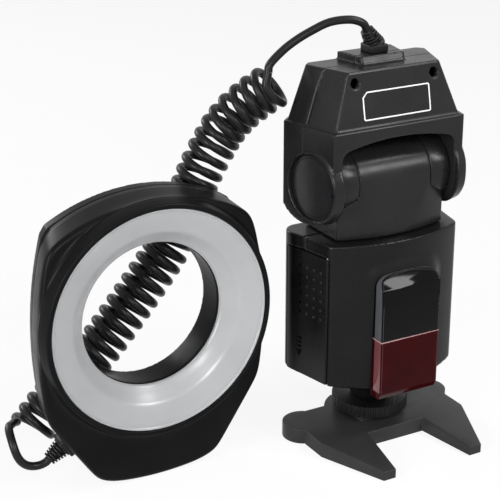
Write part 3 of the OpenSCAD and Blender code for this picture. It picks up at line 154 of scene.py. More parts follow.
def polished(name, dark, light, rough, specular=0.5):
    """Polished plastic with faint flow waves."""
    mat, tree, shader = new_material(name)
    coords = tree.nodes.new("ShaderNodeTexCoord")
    colour = spread(tree, noise(tree, coords, FLOW_SCALE, 3), dark, light)
    link(tree, colour, "Color", shader, "Base Color")
    gloss = ramp(tree, noise(tree, coords, SMEAR_SCALE, 4),
                 [(NOISE_LOW, grey(rough)), (SMEAR_HIGH, grey(rough * SMEAR_TIMES))])
    link(tree, gloss, "Color", shader, "Roughness")
    bump(tree, noise(tree, coords, WAVE_SCALE, 2), shader, WAVE_STRENGTH, WAVE_DEPTH)
    shader.inputs["IOR"].default_value = CLEAR_IOR
    shader.inputs["Specular IOR Level"].default_value = specular
    return mat


BRUSH_STRETCH, BRUSH_SCALE, BRUSH_ROUGH_MORE = (1, 1, 12), 420, 0.14
FINE_STRENGTH, FINE_DEPTH = 0.12, 0.00003


def metal(name, dark, light, rough):
    """Brushed metal: fine lines drawn out along one way."""
    mat, tree, shader = new_material(name)
    coords = tree.nodes.new("ShaderNodeTexCoord")
    drawn = tree.nodes.new("ShaderNodeMapping")
    drawn.inputs["Scale"].default_value = BRUSH_STRETCH
    link(tree, coords, "Object", drawn, "Vector")
    lines = tree.nodes.new("ShaderNodeTexNoise")
    lines.inputs["Scale"].default_value = BRUSH_SCALE
    lines.inputs["Detail"].default_value = 4
    link(tree, drawn, "Vector", lines, "Vector")
    link(tree, spread(tree, lines, dark, light), "Color", shader, "Base Color")
    gloss = spread(tree, lines, grey(rough), grey(rough + BRUSH_ROUGH_MORE))
    link(tree, gloss, "Color", shader, "Roughness")
    bump(tree, lines, shader, FINE_STRENGTH, FINE_DEPTH)
    shader.inputs["Metallic"].default_value = 1
    return mat


FROST_DARK, FROST_LIGHT = (0.285, 0.289, 0.296), (0.325, 0.329, 0.336)
FROST_ROUGH, FROST_SHARE, FROST_REACH = (0.24, 0.27), 0.25, 0.003
FROST_PATCH, FROST_SMEAR, FROST_GRAIN = 30, 120, 3000


def frosted(name):
    """Frosted diffuser: pale, softly lit through, with a fine etched grain."""
    mat, tree, shader = new_material(name)
    coords = tree.nodes.new("ShaderNodeTexCoord")
    colour = spread(tree, noise(tree, coords, FROST_PATCH, 4), FROST_DARK, FROST_LIGHT)
    link(tree, colour, "Color", shader, "Base Color")
    gloss = spread(tree, noise(tree, coords, FROST_SMEAR, 4), *map(grey, FROST_ROUGH))
    link(tree, gloss, "Color", shader, "Roughness")
    bump(tree, noise(tree, coords, FROST_GRAIN, 2, GRAIN_ROUGH), shader, FINE_STRENGTH, FINE_DEPTH)
    shader.inputs["Subsurface Weight"].default_value = FROST_SHARE
    shader.inputs["Subsurface Radius"].default_value = (FROST_REACH,) * 3
    shader.inputs["Subsurface Scale"].default_value = 1
    return mat


# Finishes: name, darker and lighter colour, roughness, then what differs from the usual grain
black = moulded("satin_black", (0.0034, 0.0034, 0.0038), (0.0052, 0.0052, 0.0057), 0.28,
                specular=0.15)
# Lighter copy of the satin black for the head: painted light, standing in for the light on the
# head's upright faces
lit_head_black = moulded("satin_black_head_lit", (0.0086, 0.0086, 0.0093), (0.0120, 0.0120, 0.0129), 0.27,
                     specular=0.17)
ring_black = moulded("satin_black_ring", (0.0034, 0.0034, 0.0037), (0.0052, 0.0052, 0.0056), 0.34,
                     specular=0.06)
# Near-black for the door's holes and arrow and the ear grooves: painted shade of their hollows
hole_shade_black = moulded("hole_shade_black", (0.0008, 0.0008, 0.0009), (0.0014, 0.0014, 0.0015), 0.6,
                     specular=0.03)
deep_black = moulded("matt_black", (0.0040, 0.0040, 0.0042), (0.0060, 0.0060, 0.0063), 0.46)
rubber = moulded("cord_skin", (0.0060, 0.0060, 0.0063), (0.0100, 0.0100, 0.0104), 0.32,
                 grain=1500, strength=0.2, patch=60)
gloss_black = polished("gloss_black", (0.0015, 0.0015, 0.0017), (0.0026, 0.0026, 0.0029), 0.05,
                       specular=0.08)
dark_red = polished("dark_red", (0.020, 0.0006, 0.0011), (0.029, 0.0009, 0.0016), 0.09,
                    specular=0.06)
# Lighter polished bands for the panel's and the red window's edges: painted highlight, in grey and
# in red
grey_edge_highlight = polished("grey_edge_highlight", (0.050, 0.052, 0.056), (0.070, 0.072, 0.078), 0.06)
red_edge_highlight = polished("red_edge_highlight", (0.095, 0.030, 0.034), (0.130, 0.042, 0.048), 0.07)
lamp_red = polished("lamp_red", (0.30, 0.015, 0.015), (0.40, 0.02, 0.02), 0.12)
base_plastic = moulded("base_plastic", (0.020, 0.020, 0.021), (0.028, 0.028, 0.029), 0.40)
white_print = moulded("white_print", (0.68, 0.68, 0.68), (0.76, 0.76, 0.76), 0.5, 1800, 0.1)
grey_print = moulded("grey_print", (0.30, 0.30, 0.30), (0.38, 0.38, 0.38), 0.5, 1800, 0.1)
pale_red = moulded("pale_red", (0.30, 0.16, 0.16), (0.38, 0.21, 0.21), 0.3, 1800, 0.1)
steel = metal("brushed_steel", (0.46, 0.46, 0.47), (0.62, 0.62, 0.63), 0.26)
plated = metal("plated_contact", (0.58, 0.47, 0.26), (0.72, 0.60, 0.34), 0.24)
foil = metal("reflector_foil", (0.72, 0.72, 0.73), (0.84, 0.84, 0.85), 0.16)
board = moulded("board", (0.012, 0.07, 0.035), (0.02, 0.10, 0.05), 0.35, 700, 0.2)
sleeve = polished("capacitor_sleeve", (0.01, 0.014, 0.04), (0.016, 0.02, 0.055), 0.22)
winding = moulded("winding", (0.20, 0.08, 0.02), (0.30, 0.13, 0.04), 0.3, 900, 0.4)
diffuser = frosted("frosted_diffuser")
tube_glass = polished("tube_glass", (0.70, 0.72, 0.74), (0.78, 0.80, 0.82), 0.08)

LOOKS = {
    "body_front_shell": black, "body_rear_shell": black, "battery_door": black,
    "battery_tray": deep_black, "window_panel": gloss_black, "red_window": dark_red,
    "light_sensor": lamp_red, "door_contacts": plated, "door_hinge_pin": steel,
    "battery_cells": steel, "tray_contacts": plated, "flash_capacitor": sleeve,
    "charge_transformer": winding, "main_board": board, "key_board": board,
    "control_panel": gloss_black, "level_lamps": lamp_red, "power_switch": deep_black,
    "minus_button": deep_black, "plus_button": deep_black, "mode_button": deep_black,
    "test_button": lamp_red, "foot_bracket": deep_black, "shoe_foot": steel, "contact_pin": plated,
    "contact_spring": steel, "lock_pin": steel, "lock_wheel": deep_black, "mini_base": base_plastic,
    "thread_insert": plated, "neck_saddle": lit_head_black, "barrel_collars": lit_head_black,
    "swivel_post": steel, "tilt_axle": steel, "cap_front_shell": lit_head_black,
    "cap_rear_shell": lit_head_black, "ear_discs": lit_head_black, "cap_screws": steel,
    "cord_gland": deep_black, "upper_boot": rubber, "ring_front_shell": ring_black,
    "ring_rear_shell": ring_black, "ring_diffuser": diffuser, "ring_reflector": foil,
    "flash_tube": tube_glass, "trigger_board": board, "trigger_coil": winding, "ring_screws": steel,
    "lower_boot": rubber, "lead_upper": rubber, "curly_cord": rubber, "lead_lower": rubber,
}
for name, mat in LOOKS.items():
    nodes[name].data.materials.clear()
    nodes[name].data.materials.append(mat)


# Soft edges on the moulded pieces: width of the rounding in millimetres
ROUNDED = {
    "battery_door": 0.3, "window_panel": 0.8, "red_window": 0.8, "barrel_collars": 0.5,
    "ear_discs": 0.4, "cord_gland": 0.5, "mini_base": 0.6, "lock_wheel": 0.3, "control_panel": 0.3,
    "power_switch": 0.3, "minus_button": 0.4, "plus_button": 0.4, "mode_button": 0.4,
    "test_button": 0.4, "foot_bracket": 0.4, "shoe_foot": 0.2,
}
# Moulded shells: voxel size in millimetres and the smoothing passes that round their edges
SOFTENED = {
    "cap_front_shell": (0.5, 9), "cap_rear_shell": (0.5, 9), "neck_saddle": (0.5, 7),
    "body_front_shell": (0.55, 8), "body_rear_shell": (0.55, 8), "ring_rear_shell": (0.6, 5),
}
# Share of the faces that a smoothed shell keeps
KEPT_FACES = 0.3
WELD_REACH = 2e-6
FLAT_ANGLE, EDGE_ANGLE = math.radians(0.6), math.radians(28)
BEVEL_STEPS, SMOOTH_FACTOR = 3, 0.5


def smooth_shade(mesh):
    mesh.polygons.foreach_set("use_smooth", [True] * len(mesh.polygons))


def add_weld(obj):
    weld = obj.modifiers.new("weld", "WELD")
    weld.merge_threshold = WELD_REACH


def round_edges(obj, width):
    """A clamped bevel along the edges, over faces that are joined where they are flat."""
    add_weld(obj)
    flat = obj.modifiers.new("flat", "DECIMATE")
    flat.decimate_type = "DISSOLVE"
    flat.angle_limit = FLAT_ANGLE
    bevel = obj.modifiers.new("bevel", "BEVEL")
    bevel.width = width
    bevel.segments = BEVEL_STEPS
    bevel.limit_method = "ANGLE"
    bevel.angle_limit = EDGE_ANGLE
    bevel.use_clamp_overlap = True
    bevel.harden_normals = True
    smooth_shade(obj.data)


def soften(obj, voxel, passes):
    """An even mesh over a shell, smoothed until its edges are round, then thinned."""
    add_weld(obj)
    remesh = obj.modifiers.new("remesh", "REMESH")
    remesh.mode = "VOXEL"
    remesh.voxel_size = voxel
    remesh.use_smooth_shade = True
    smooth = obj.modifiers.new("smooth", "SMOOTH")
    smooth.factor = SMOOTH_FACTOR
    smooth.iterations = passes
    thin = obj.modifiers.new("thin", "DECIMATE")
    thin.ratio = KEPT_FACES
    smooth_shade(obj.data)


for name, width in ROUNDED.items():
    round_edges(nodes[name], width * MM)
for name, (voxel, passes) in SOFTENED.items():
    soften(nodes[name], voxel * MM, passes)


# Mesh helpers
def add_mesh(name, bm, mat, smooth=True):
    mesh = bpy.data.meshes.new(name)
    bmesh.ops.recalc_face_normals(bm, faces=bm.faces)
    bm.to_mesh(mesh)
    bm.free()
    if smooth:
        smooth_shade(mesh)
    mesh.materials.append(mat)
    obj = bpy.data.objects.new(name, mesh)
    bpy.context.scene.collection.objects.link(obj)
    return obj


def along(points):
    """Unit directions of a path at its points."""
    dirs = []
    for i in range(len(points)):
        a, b = points[max(i - 1, 0)], points[min(i + 1, len(points) - 1)]
        dirs.append((b - a).normalized())
    return dirs


def join_rows(bm, rows, closed):
    """Quads between each two neighbouring rows of vertices."""
    for a, b in zip(rows, rows[1:]):
        for k in range(len(a) if closed else len(a) - 1):
            j = (k + 1) % len(a)
            bm.faces.new((a[k], a[j], b[j], b[k]))


# A path that starts nearer to the y axis than this takes x for its first side
TUBE_SIDES, NEAR_Y = 16, 0.8


def tube(name, points, radius, mat):
    """One smooth tube swept along a path without twisting; its ends go into other pieces."""
    bm = bmesh.new()
    angles = [2 * math.pi * k / TUBE_SIDES for k in range(TUBE_SIDES)]
    dirs = along(points)
    start = Vector((0, 1, 0)) if abs(dirs[0].y) < NEAR_Y else Vector((1, 0, 0))
    rings = []
    for p, t in zip(points, dirs):
        start = (start - start.dot(t) * t).normalized()
        side = t.cross(start)
        rings.append([bm.verts.new(p + radius * (math.cos(a) * start + math.sin(a) * side))
                      for a in angles])
    join_rows(bm, rings, True)
    return add_mesh(name, bm, mat)


# Ring head, in millimetres: the middle of its lens hole, its outline about that, and its depths
RING_X, RING_Y, RING_Z = -113.5, -4.6, 78.8
RING_AT = Vector((RING_X / 1000, RING_Y / 1000, RING_Z / 1000))
RING_RISE, RING_DROP, TOP_R, BOTTOM_R = 54.7, 78.8, 86.0, 140.0
SIDE_R, HALF_W, WAIST, TAPER = 192.0, 55.7, 8.0, 4.0
FACE_D, SEAM_D, DEPTH, SWELL = 6.0, 20.0, 26.0, 1.6
CHEEK, HEEL, BROW = (49.0, -46.5), (30.5, -74.0), (49.4, 38.7)
CHEEK_LEAN = math.atan2(CHEEK[0] - HEEL[0], CHEEK[1] - HEEL[1])

# The cord: a plain lead from the cap, the curls, and a plain lead into the ring. Lengths in metres,
# route points in millimetres
CORD_D = 0.0038
CURL_R = 0.009
CURL_COUNT = 34
CURL_BEGIN, CURL_END = 140, 270
CURL_LINE = [Vector(p) * MM for p in (
    (-45.5, 17.5, 171), (-50, 21, 167), (-54, 24, 163), (-58, 27, 158.5), (-62, 29.5, 153),
    (-65.5, 31.5, 147), (-73, 33.5, 133), (-81.5, 34.5, 115), (-90.5, 34.5, 97.5),
    (-109, 34.5, 74.5), (-129, 34.5, 52.5), (-144, 34.5, 39.5), (-153.5, 34.5, 30.5),
    (-162.5, 34.5, 21))]
CURL_START, CURL_START_DIR = Vector((-0.051, 0.012, 0.179)), Vector((-3, -1, -9)).normalized()
CURL_FINISH = Vector((-0.175, 0.0255, 0.0305))
CURL_FINISH_DIR = Vector((-6, -7.5, 2)).normalized()
UPPER_ROUTE = [Vector(p) * MM for p in (
    (-12.5, 6, 199.5), (-22, 8, 199), (-30.5, 10, 195.5), (-37, 11.5, 192), (-43, 12.5, 188))]
LOWER_ROUTE = [Vector(p) * MM for p in (
    (-172.8, 12.4, 15.2), (-177.1, 11.8, 20), (-178.5, 13, 25.2), (-178.5, 16.8, 29.5))]
BOOT_L = 0.008
BOOT_LEAN = math.radians(34)
UPPER_ROOT = Vector((0, 0.00475, 0.1877))
UPPER_DIR = Vector((-math.sin(BOOT_LEAN), 0, math.cos(BOOT_LEAN)))
BOOT_DEPTH, BOOT_DOWN = 17, 56
CHEEK_DRAW = TAPER * (BOOT_DEPTH - FACE_D) / (DEPTH - FACE_D) / math.cos(CHEEK_LEAN)
BOOT_RUN = (BOOT_DOWN + CHEEK[1]) * (CHEEK[0] - HEEL[0]) / (CHEEK[1] - HEEL[1])
BOOT_X = CHEEK[0] - BOOT_RUN - CHEEK_DRAW
LOWER_DIR = Vector((-math.cos(CHEEK_LEAN), 0, -math.sin(CHEEK_LEAN)))
LOWER_ROOT = Vector((RING_X - BOOT_X, RING_Y + BOOT_DEPTH, RING_Z - BOOT_DOWN)) * MM
COLLAR_T = 0.0035
UPPER_EXIT = UPPER_ROOT + BOOT_L * UPPER_DIR
LOWER_EXIT = LOWER_ROOT + (COLLAR_T + BOOT_L) * LOWER_DIR


def spline(a, b, c, d, t):
    """A point between b and c on a smooth curve through all four."""
    return 0.5 * (2 * b + (c - a) * t + (2 * a - 5 * b + 4 * c - d) * t * t
                  + (3 * b - a - 3 * c + d) * t * t * t)


def line_marks():
    """Distance of each point of the coil's middle line from its start."""
    marks = [0.0]
    for a, b in zip(CURL_LINE, CURL_LINE[1:]):
        marks.append(marks[-1] + (b - a).length)
    return marks


MARKS = line_marks()
LINE = [2 * CURL_LINE[0] - CURL_LINE[1]] + CURL_LINE + [2 * CURL_LINE[-1] - CURL_LINE[-2]]


def curl_axis(s):
    """The coil's middle line at a distance from its start."""
    i = max(k for k in range(len(MARKS) - 1) if MARKS[k] <= s or k == 0)
    return spline(*LINE[i:i + 4], (s - MARKS[i]) / (MARKS[i + 1] - MARKS[i]))


TURNS = CURL_COUNT - 1 + (CURL_BEGIN + 360 - CURL_END) / 360
TANGENT_STEP = 0.0004


def curl_point(u):
    """The curls at a share of their whole length."""
    s, h = u * MARKS[-1], TANGENT_STEP
    t = (curl_axis(min(s + h, MARKS[-1])) - curl_axis(max(s - h, 0))).normalized()
    e = Vector((0, 1, 0))
    e = (e - e.dot(t) * t).normalized()
    f = t.cross(e)
    a = math.radians(CURL_BEGIN - 360 * TURNS * u)
    return curl_axis(s) + CURL_R * (math.cos(a) * e + math.sin(a) * f)


BEND_REACH = 1.2


def bend(p, d, q, e, t):
    """A smooth turn from p, leaving along d, to q, arriving along e."""
    m = BEND_REACH * (q - p).length
    return ((1 + 2 * t) * (1 - t) ** 2 * p + t * (1 - t) ** 2 * m * d
            + t * t * (3 - 2 * t) * q - t * t * (1 - t) * m * e)


def smooth_path(points, steps):
    """A smooth curve through the points, with the same steps between each two."""
    ends = [2 * points[0] - points[1]] + points + [2 * points[-1] - points[-2]]
    path = [spline(*ends[i:i + 4], k / steps)
            for i in range(len(points) - 1) for k in range(steps)]
    return path + [points[-1]]


EASE_PASSES, EASE_HELD = 30, 4


def eased(points):
    """A path with its corners evened out; its first and last points stay."""
    for _ in range(EASE_PASSES):
        between = [(a + 2 * b + c) / 4 for a, b, c in zip(points, points[1:], points[2:])]
        evened = [points[0]] + between + [points[-1]]
        points = points[:EASE_HELD] + evened[EASE_HELD:-EASE_HELD] + points[-EASE_HELD:]
    return points


STEPS_A_TURN, STEPS_IN, STEPS_OUT = 28, 12, 10
UPPER_STEPS, LOWER_STEPS = 5, 8
STEPS = round(TURNS * STEPS_A_TURN)
curls = [curl_point(k / STEPS) for k in range(STEPS + 1)]
first_dir = (curls[1] - curls[0]).normalized()
last_dir = (curls[-1] - curls[-2]).normalized()
curl_in = CURL_START + CORD_D * CURL_START_DIR
curl_out = CURL_FINISH - CORD_D * CURL_FINISH_DIR
coil_path = ([CURL_START, (CURL_START + curl_in) / 2]
             + [bend(curl_in, CURL_START_DIR, curls[0], first_dir, k / STEPS_IN)
                for k in range(STEPS_IN)]
             + curls
             + [bend(curls[-1], last_dir, curl_out, CURL_FINISH_DIR, k / STEPS_OUT)
                for k in range(1, STEPS_OUT + 1)]
             + [(CURL_FINISH + curl_out) / 2, CURL_FINISH])
upper_path = smooth_path([UPPER_EXIT, UPPER_EXIT + CORD_D * UPPER_DIR] + UPPER_ROUTE
                         + [CURL_START - CORD_D * CURL_START_DIR, CURL_START], UPPER_STEPS)
lower_path = eased(smooth_path(
    [LOWER_EXIT, LOWER_EXIT + CORD_D * LOWER_DIR] + LOWER_ROUTE
    + [CURL_FINISH + CORD_D * CURL_FINISH_DIR, CURL_FINISH], LOWER_STEPS))


# The coil is cut in three at these shares of its points: the first curls, the next, and the rest
TILT_SHARE, SWIVEL_SHARE = 0.07, 0.28
tilt_end, swivel_end = (round(len(coil_path) * share) for share in (TILT_SHARE, SWIVEL_SHARE))
upper_part = coil_path[:tilt_end + 1]
middle_part = coil_path[tilt_end:swivel_end + 1]
lower_part = coil_path[swivel_end:]
cord_parts = [
    ("cord_lead_upper", upper_path, UPPER_EXIT, "lead_upper", "hanging"),
    ("cord_curls_upper", upper_part, CURL_START, "curly_cord", "coiled"),
    ("cord_curls_middle", middle_part, middle_part[0], "curly_cord", "coiled"),
    ("cord_curls_lower", lower_part, lower_part[0], "curly_cord", "coiled"),
    ("cord_lead_lower", lower_path, LOWER_EXIT, "lead_lower", "hanging"),
]
cords = {}
for name, path, exit_at, node, lay in cord_parts:
    piece = tube(name, path, CORD_D / 2, rubber)
    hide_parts(node)
    cords[name] = piece
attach(cords["cord_lead_lower"], "control_unit")
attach(cords["cord_curls_lower"], "control_unit")
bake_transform(cords["cord_curls_middle"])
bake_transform(cords["cord_curls_upper"])
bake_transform(cords["cord_lead_upper"])


# Small moulded and printed pieces
def place(name, bm, mat, body):
    piece = add_mesh(name, bm, mat)
    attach(piece, body)
    return piece


def add_line_frame(bm, outer, inner, lay, height):
    """A flat frame between two outlines, a little proud of the surface that lay() gives."""
    loops = [[bm.verts.new(lay(p, h)) for p in outline]
             for outline, h in ((outer, 0), (outer, height), (inner, height), (inner, 0))]
    join_rows(bm, loops, True)


def add_patch(bm, outline, lay, height):
    """A flat printed or raised shape."""
    top = [bm.verts.new(lay(p, height)) for p in outline]
    foot = [bm.verts.new(lay(p, 0)) for p in outline]
    bm.faces.new(top)
    for k in range(len(outline)):
        j = (k + 1) % len(outline)
        bm.faces.new((foot[k], foot[j], top[j], top[k]))


def arc_points(centre, radius, start, stop, steps):
    return [(centre[0] + radius * math.cos(math.radians(start + (stop - start) * k / steps)),
             centre[1] + radius * math.sin(math.radians(start + (stop - start) * k / steps)))
            for k in range(steps + 1)]


def circle_points(centre, radius, count):
    return arc_points(centre, radius, 0, 360 - 360 / count, count - 1)


def box_points(x0, x1, z0, z1):
    return [(x0, z0), (x1, z0), (x1, z1), (x0, z1)]


# A bare outlined label place on the sloping front of the cap
CROWN_FOOT = Vector((0, -0.0164, 0.1555))
CROWN_RISE = Vector((0, 0.0051, 0.025))
CROWN_OUT = Vector((0, -CROWN_RISE.z, CROWN_RISE.y)).normalized()
LABEL_HALF, LABEL_LOW, LABEL_HIGH = 0.0180, 0.0034, 0.0162
LABEL_CUT, LABEL_CORNER, LABEL_LINE, LABEL_H = 0.0024, 0.0007, 0.0006, 0.00012
# Share of an inset by which a cut corner shortens, so that the line keeps its width there
CUT_SHRINK = 0.59


def on_crown(p, height):
    return CROWN_FOOT + Vector((p[0], 0, 0)) + CROWN_RISE.normalized() * p[1] + CROWN_OUT * height


def label_outline(inset):
    x, z0, z1 = LABEL_HALF - inset, LABEL_LOW + inset, LABEL_HIGH - inset
    c, s = LABEL_CUT - CUT_SHRINK * inset, LABEL_CORNER - CUT_SHRINK * inset
    return [(-x + s, z0), (x - s, z0), (x, z0 + s), (x, z1 - s), (x - s, z1), (-x + c, z1),
            (-x, z1 - c), (-x, z0 + s)]


def make_label():
    bm = bmesh.new()
    add_line_frame(bm, label_outline(0), label_outline(LABEL_LINE), on_crown, LABEL_H)
    place("label_frame", bm, white_print, "cap")


# The left side of the body, where the door is
HALF_FRONT, HALF_MID, HALF_REAR = 0.035, 0.0385, 0.041
FRONT_Y, SEAM_Y, REAR_Y = -0.017, 0.001, 0.010


def on_side(p, height):
    """A point of the left side at a depth and a height, lifted out of it by a given amount."""
    y, z = p
    if y < SEAM_Y:
        slope = (HALF_MID - HALF_FRONT) / (SEAM_Y - FRONT_Y)
        x = HALF_FRONT + slope * (y - FRONT_Y)
    else:
        slope = (HALF_REAR - HALF_MID) / (REAR_Y - SEAM_Y)
        x = HALF_MID + slope * (y - SEAM_Y)
    out = Vector((-1, -slope, 0)).normalized()
    return Vector((-x, y, z)) + out * height


# Shares of a stud's radius and height; its top follows at the last share of the radius
STUD_ROWS, STUD_TOP = [(1.0, 0.0), (0.86, 0.62), (0.6, 0.92)], 0.3
STUD_SIDES = 12


def add_stud(bm, at, radius, height, dip=0.0):
    """A low round stud on the side; with a dip its middle sinks again, as round a small hole."""
    angles = [2 * math.pi * k / STUD_SIDES for k in range(STUD_SIDES)]
    rings = []
    for share, rise in STUD_ROWS + [(STUD_TOP, 1.0 - dip)]:
        r = radius * share
        rings.append([bm.verts.new(on_side((at[0] + r * math.cos(a), at[1] + r * math.sin(a)),
                                           height * rise)) for a in angles])
    join_rows(bm, rings, True)
    bm.faces.new(rings[-1])


# The door's grip: columns of studs, a column of small holes, and an arrow with bars below the
# holes; the holes and the arrow are drawn in near-black as painted shade, for the hollows of the
# holes and of the engraved arrow
GRIP_COLUMNS = (-0.0113, -0.0067, -0.0021)
GRIP_HOLES = 0.0027
GRIP_TOP, GRIP_PITCH, GRIP_ROWS = 0.0885, 0.0046, 6
STUD_R, STUD_H = 0.00075, 0.0005
HOLE_R, HOLE_H, HOLE_DIP = 0.00095, 0.00016, 0.9
ARROW_Y, ARROW_TIP, ARROW_FOOT, ARROW_HALF, ARROW_H = 0.0029, 0.0423, 0.0460, 0.0019, 0.00022
ARROW_BARS, BAR_GAP, BAR_PITCH, BAR_W, BAR_SHARE = 3, 0.0012, 0.0022, 0.0011, 0.8


def make_door_details():
    studs, holes, arrow = bmesh.new(), bmesh.new(), bmesh.new()
    for row in range(GRIP_ROWS):
        z = GRIP_TOP - row * GRIP_PITCH
        for y in GRIP_COLUMNS:
            add_stud(studs, (y, z), STUD_R, STUD_H)
        add_stud(holes, (GRIP_HOLES, z), HOLE_R, HOLE_H, HOLE_DIP)
    place("door_grip", studs, black, "door")
    place("door_hole_shade", holes, hole_shade_black, "door")
    head = [(ARROW_Y, ARROW_TIP), (ARROW_Y + ARROW_HALF, ARROW_FOOT),
            (ARROW_Y - ARROW_HALF, ARROW_FOOT)]
    add_patch(arrow, head, on_side, ARROW_H)
    half = ARROW_HALF * BAR_SHARE
    for k in range(ARROW_BARS):
        z = ARROW_FOOT + BAR_GAP + BAR_PITCH * k
        bar = box_points(ARROW_Y - half, ARROW_Y + half, z, z + BAR_W)
        add_patch(arrow, bar, on_side, ARROW_H)
    place("door_arrow_shade", arrow, hole_shade_black, "door")


# The front swells in an arc; the window sits in a soft raised rim on it
SWELL_Y, SWELL_R = -0.0255, 0.0763
WINDOW_HALF, WINDOW_LOW, WINDOW_SPLIT, WINDOW_TOP = 0.016, 0.028, 0.0575, 0.0895
WINDOW_ARCH, WINDOW_CORNER, WINDOW_FRONT = 0.048, 0.005, -0.032
# The outline starts a little above the window's lower edge
OUTLINE_FOOT = 0.0045
UPRIGHT_STEPS, CORNER_STEPS, ARCH_STEPS = 6, 8, 16


def on_front(p, height):
    """A point of the front at a width and a height, lifted out of it by a given amount."""
    x, z = p
    y = SWELL_Y + SWELL_R - math.sqrt(SWELL_R ** 2 - x * x)
    out = Vector((x, y - SWELL_Y - SWELL_R, 0)).normalized()
    return Vector((x, y, z)) + out * height


def window_outline(out):
    """Outline of the window from its lower left corner over the arch to its lower right corner."""
    half, arch, corner = WINDOW_HALF + out, WINDOW_ARCH + out, WINDOW_CORNER + out
    cx = WINDOW_HALF - WINDOW_CORNER
    cz = WINDOW_TOP - WINDOW_ARCH + math.sqrt((WINDOW_ARCH - WINDOW_CORNER) ** 2 - cx * cx)
    lean = math.degrees(math.atan2(cz - WINDOW_TOP + WINDOW_ARCH, cx))
    low = WINDOW_LOW + OUTLINE_FOOT
    upright = [low + (cz - low) * k / UPRIGHT_STEPS for k in range(UPRIGHT_STEPS)]
    rise = [(-half, z) for z in upright]
    left = arc_points((-cx, cz), corner, 180, 180 - lean, CORNER_STEPS)
    arch_at = (0, WINDOW_TOP - WINDOW_ARCH)
    top = arc_points(arch_at, arch, 180 - lean, lean, ARCH_STEPS)[1:-1]
    right = arc_points((cx, cz), corner, lean, 0, CORNER_STEPS)
    fall = [(half, z) for z in reversed(upright)]
    return rise + left + top + right + fall


RIM_W, RIM_H, RIM_ROWS, RIM_SUNK = 0.0075, 0.0017, 8, 0.00002
# The rim fades towards its two ends: over so many points, down to this share of its height
FADE_POINTS, FADE_LEAST = 5, 0.15


def make_window_rim():
    bm = bmesh.new()
    rows = []
    for k in range(RIM_ROWS + 1):
        t = k / RIM_ROWS
        height = RIM_H * (1 - t) ** 2 * (1 + 2 * t) - RIM_SUNK
        edge = window_outline(RIM_W * t)
        last = len(edge) - 1
        row = []
        for i, p in enumerate(edge):
            fade = min(1.0, min(i, last - i) / FADE_POINTS)
            row.append(bm.verts.new(on_front(p, height * (FADE_LEAST + (1 - FADE_LEAST) * fade))))
        rows.append(row)
    join_rows(bm, rows, False)
    place("window_rim", bm, black, "control_unit")


LINE_H, LINE_IN, LINE_PROUD, LINE_BACK = 0.0004, 0.0003, 0.00002, -0.0245


def line_path(out):
    """From the body along one wall of the window, over its front and back along the other wall."""
    half, front = WINDOW_HALF + out, WINDOW_FRONT - out
    return [(-half, LINE_BACK), (-half, front), (half, front), (half, LINE_BACK)]


def make_window_line():
    """The pale edge between the panel and the red window."""
    bm = bmesh.new()
    low_z, high_z = WINDOW_SPLIT - LINE_H, WINDOW_SPLIT
    corners = ((-LINE_IN, low_z), (LINE_PROUD, low_z), (LINE_PROUD, high_z), (-LINE_IN, high_z))
    loops = [[bm.verts.new((x, y, z)) for x, y in line_path(out)] for out, z in corners]
    join_rows(bm, loops + loops[:1], False)
    place("window_line", bm, pale_red, "control_unit")


# The polished edges of the panel and the red window, laid close on their side walls and the arch,
# in lighter grey and red colours that paint their highlight
SLOPE_Z, SLOPE_RUN, SLOPE_RISE = 0.0825, 0.0045, 0.007
EDGE_PROUD, EDGE_IN, EDGE_BACK = 0.00004, 0.0007, -0.0263
# Where the two edges start and stop
PANEL_EDGE_GAP, RED_EDGE_FOOT, RED_EDGE_GAP = 0.0001, 0.0036, 0.0005


def add_edge_band(bm, pairs):
    """A band along the window's outline: up the wall from the body and round the front edge."""
    rows = []
    for (x, z), (x_in, z_in) in pairs:
        front = WINDOW_FRONT + max(z - SLOPE_Z, 0) * SLOPE_RUN / SLOPE_RISE
        front_in = WINDOW_FRONT + max(z_in - SLOPE_Z, 0) * SLOPE_RUN / SLOPE_RISE
        mid = ((x + x_in) / 2, (z + z_in) / 2)
        corner = ((x + mid[0]) / 2, (z + mid[1]) / 2)
        rows.append([bm.verts.new(p) for p in (
            (x, EDGE_BACK, z), (x, front + EDGE_IN, z),
            (corner[0], front + EDGE_IN / 4, corner[1]),
            (x_in, front_in - EDGE_PROUD, z_in), (x_in, front_in + EDGE_IN, z_in))])
    join_rows(bm, rows, False)


def make_window_edge_highlights():
    pairs = zip(window_outline(EDGE_PROUD), window_outline(-EDGE_IN))
    over = [pair for pair in pairs if pair[0][1] > WINDOW_SPLIT]
    half, half_in = WINDOW_HALF + EDGE_PROUD, WINDOW_HALF - EDGE_IN
    start = WINDOW_SPLIT + PANEL_EDGE_GAP
    over = [((-half, start), (-half_in, start))] + over + [((half, start), (half_in, start))]
    bm = bmesh.new()
    add_edge_band(bm, over)
    place("panel_edge_highlight", bm, grey_edge_highlight, "control_unit")
    bm = bmesh.new()
    low_z, high_z = WINDOW_LOW + RED_EDGE_FOOT, WINDOW_SPLIT - RED_EDGE_GAP
    for side in (-1, 1):
        add_edge_band(bm, [((side * half, z), (side * half_in, z)) for z in (low_z, high_z)])
    place("window_edge_highlight", bm, red_edge_highlight, "control_unit")


# Round groove and notch on each ear disc, which turns a little to the front. They are thin
# near-black marks laid on the disc, painted shade in place of cut grooves
TILT_Z, EAR_X, EAR_TURN, DISC_R = 0.128, 0.038, math.radians(7), 0.0155
# Each groove's distance from the disc's edge and its width
GROOVES = ((0.0005, 0.0004), (0.0017, 0.00022))
NOTCH_IN, NOTCH_L, NOTCH_HALF, GROOVE_H = 0.0004, 0.0017, 0.0006, 0.00003
GROOVE_POINTS = 48


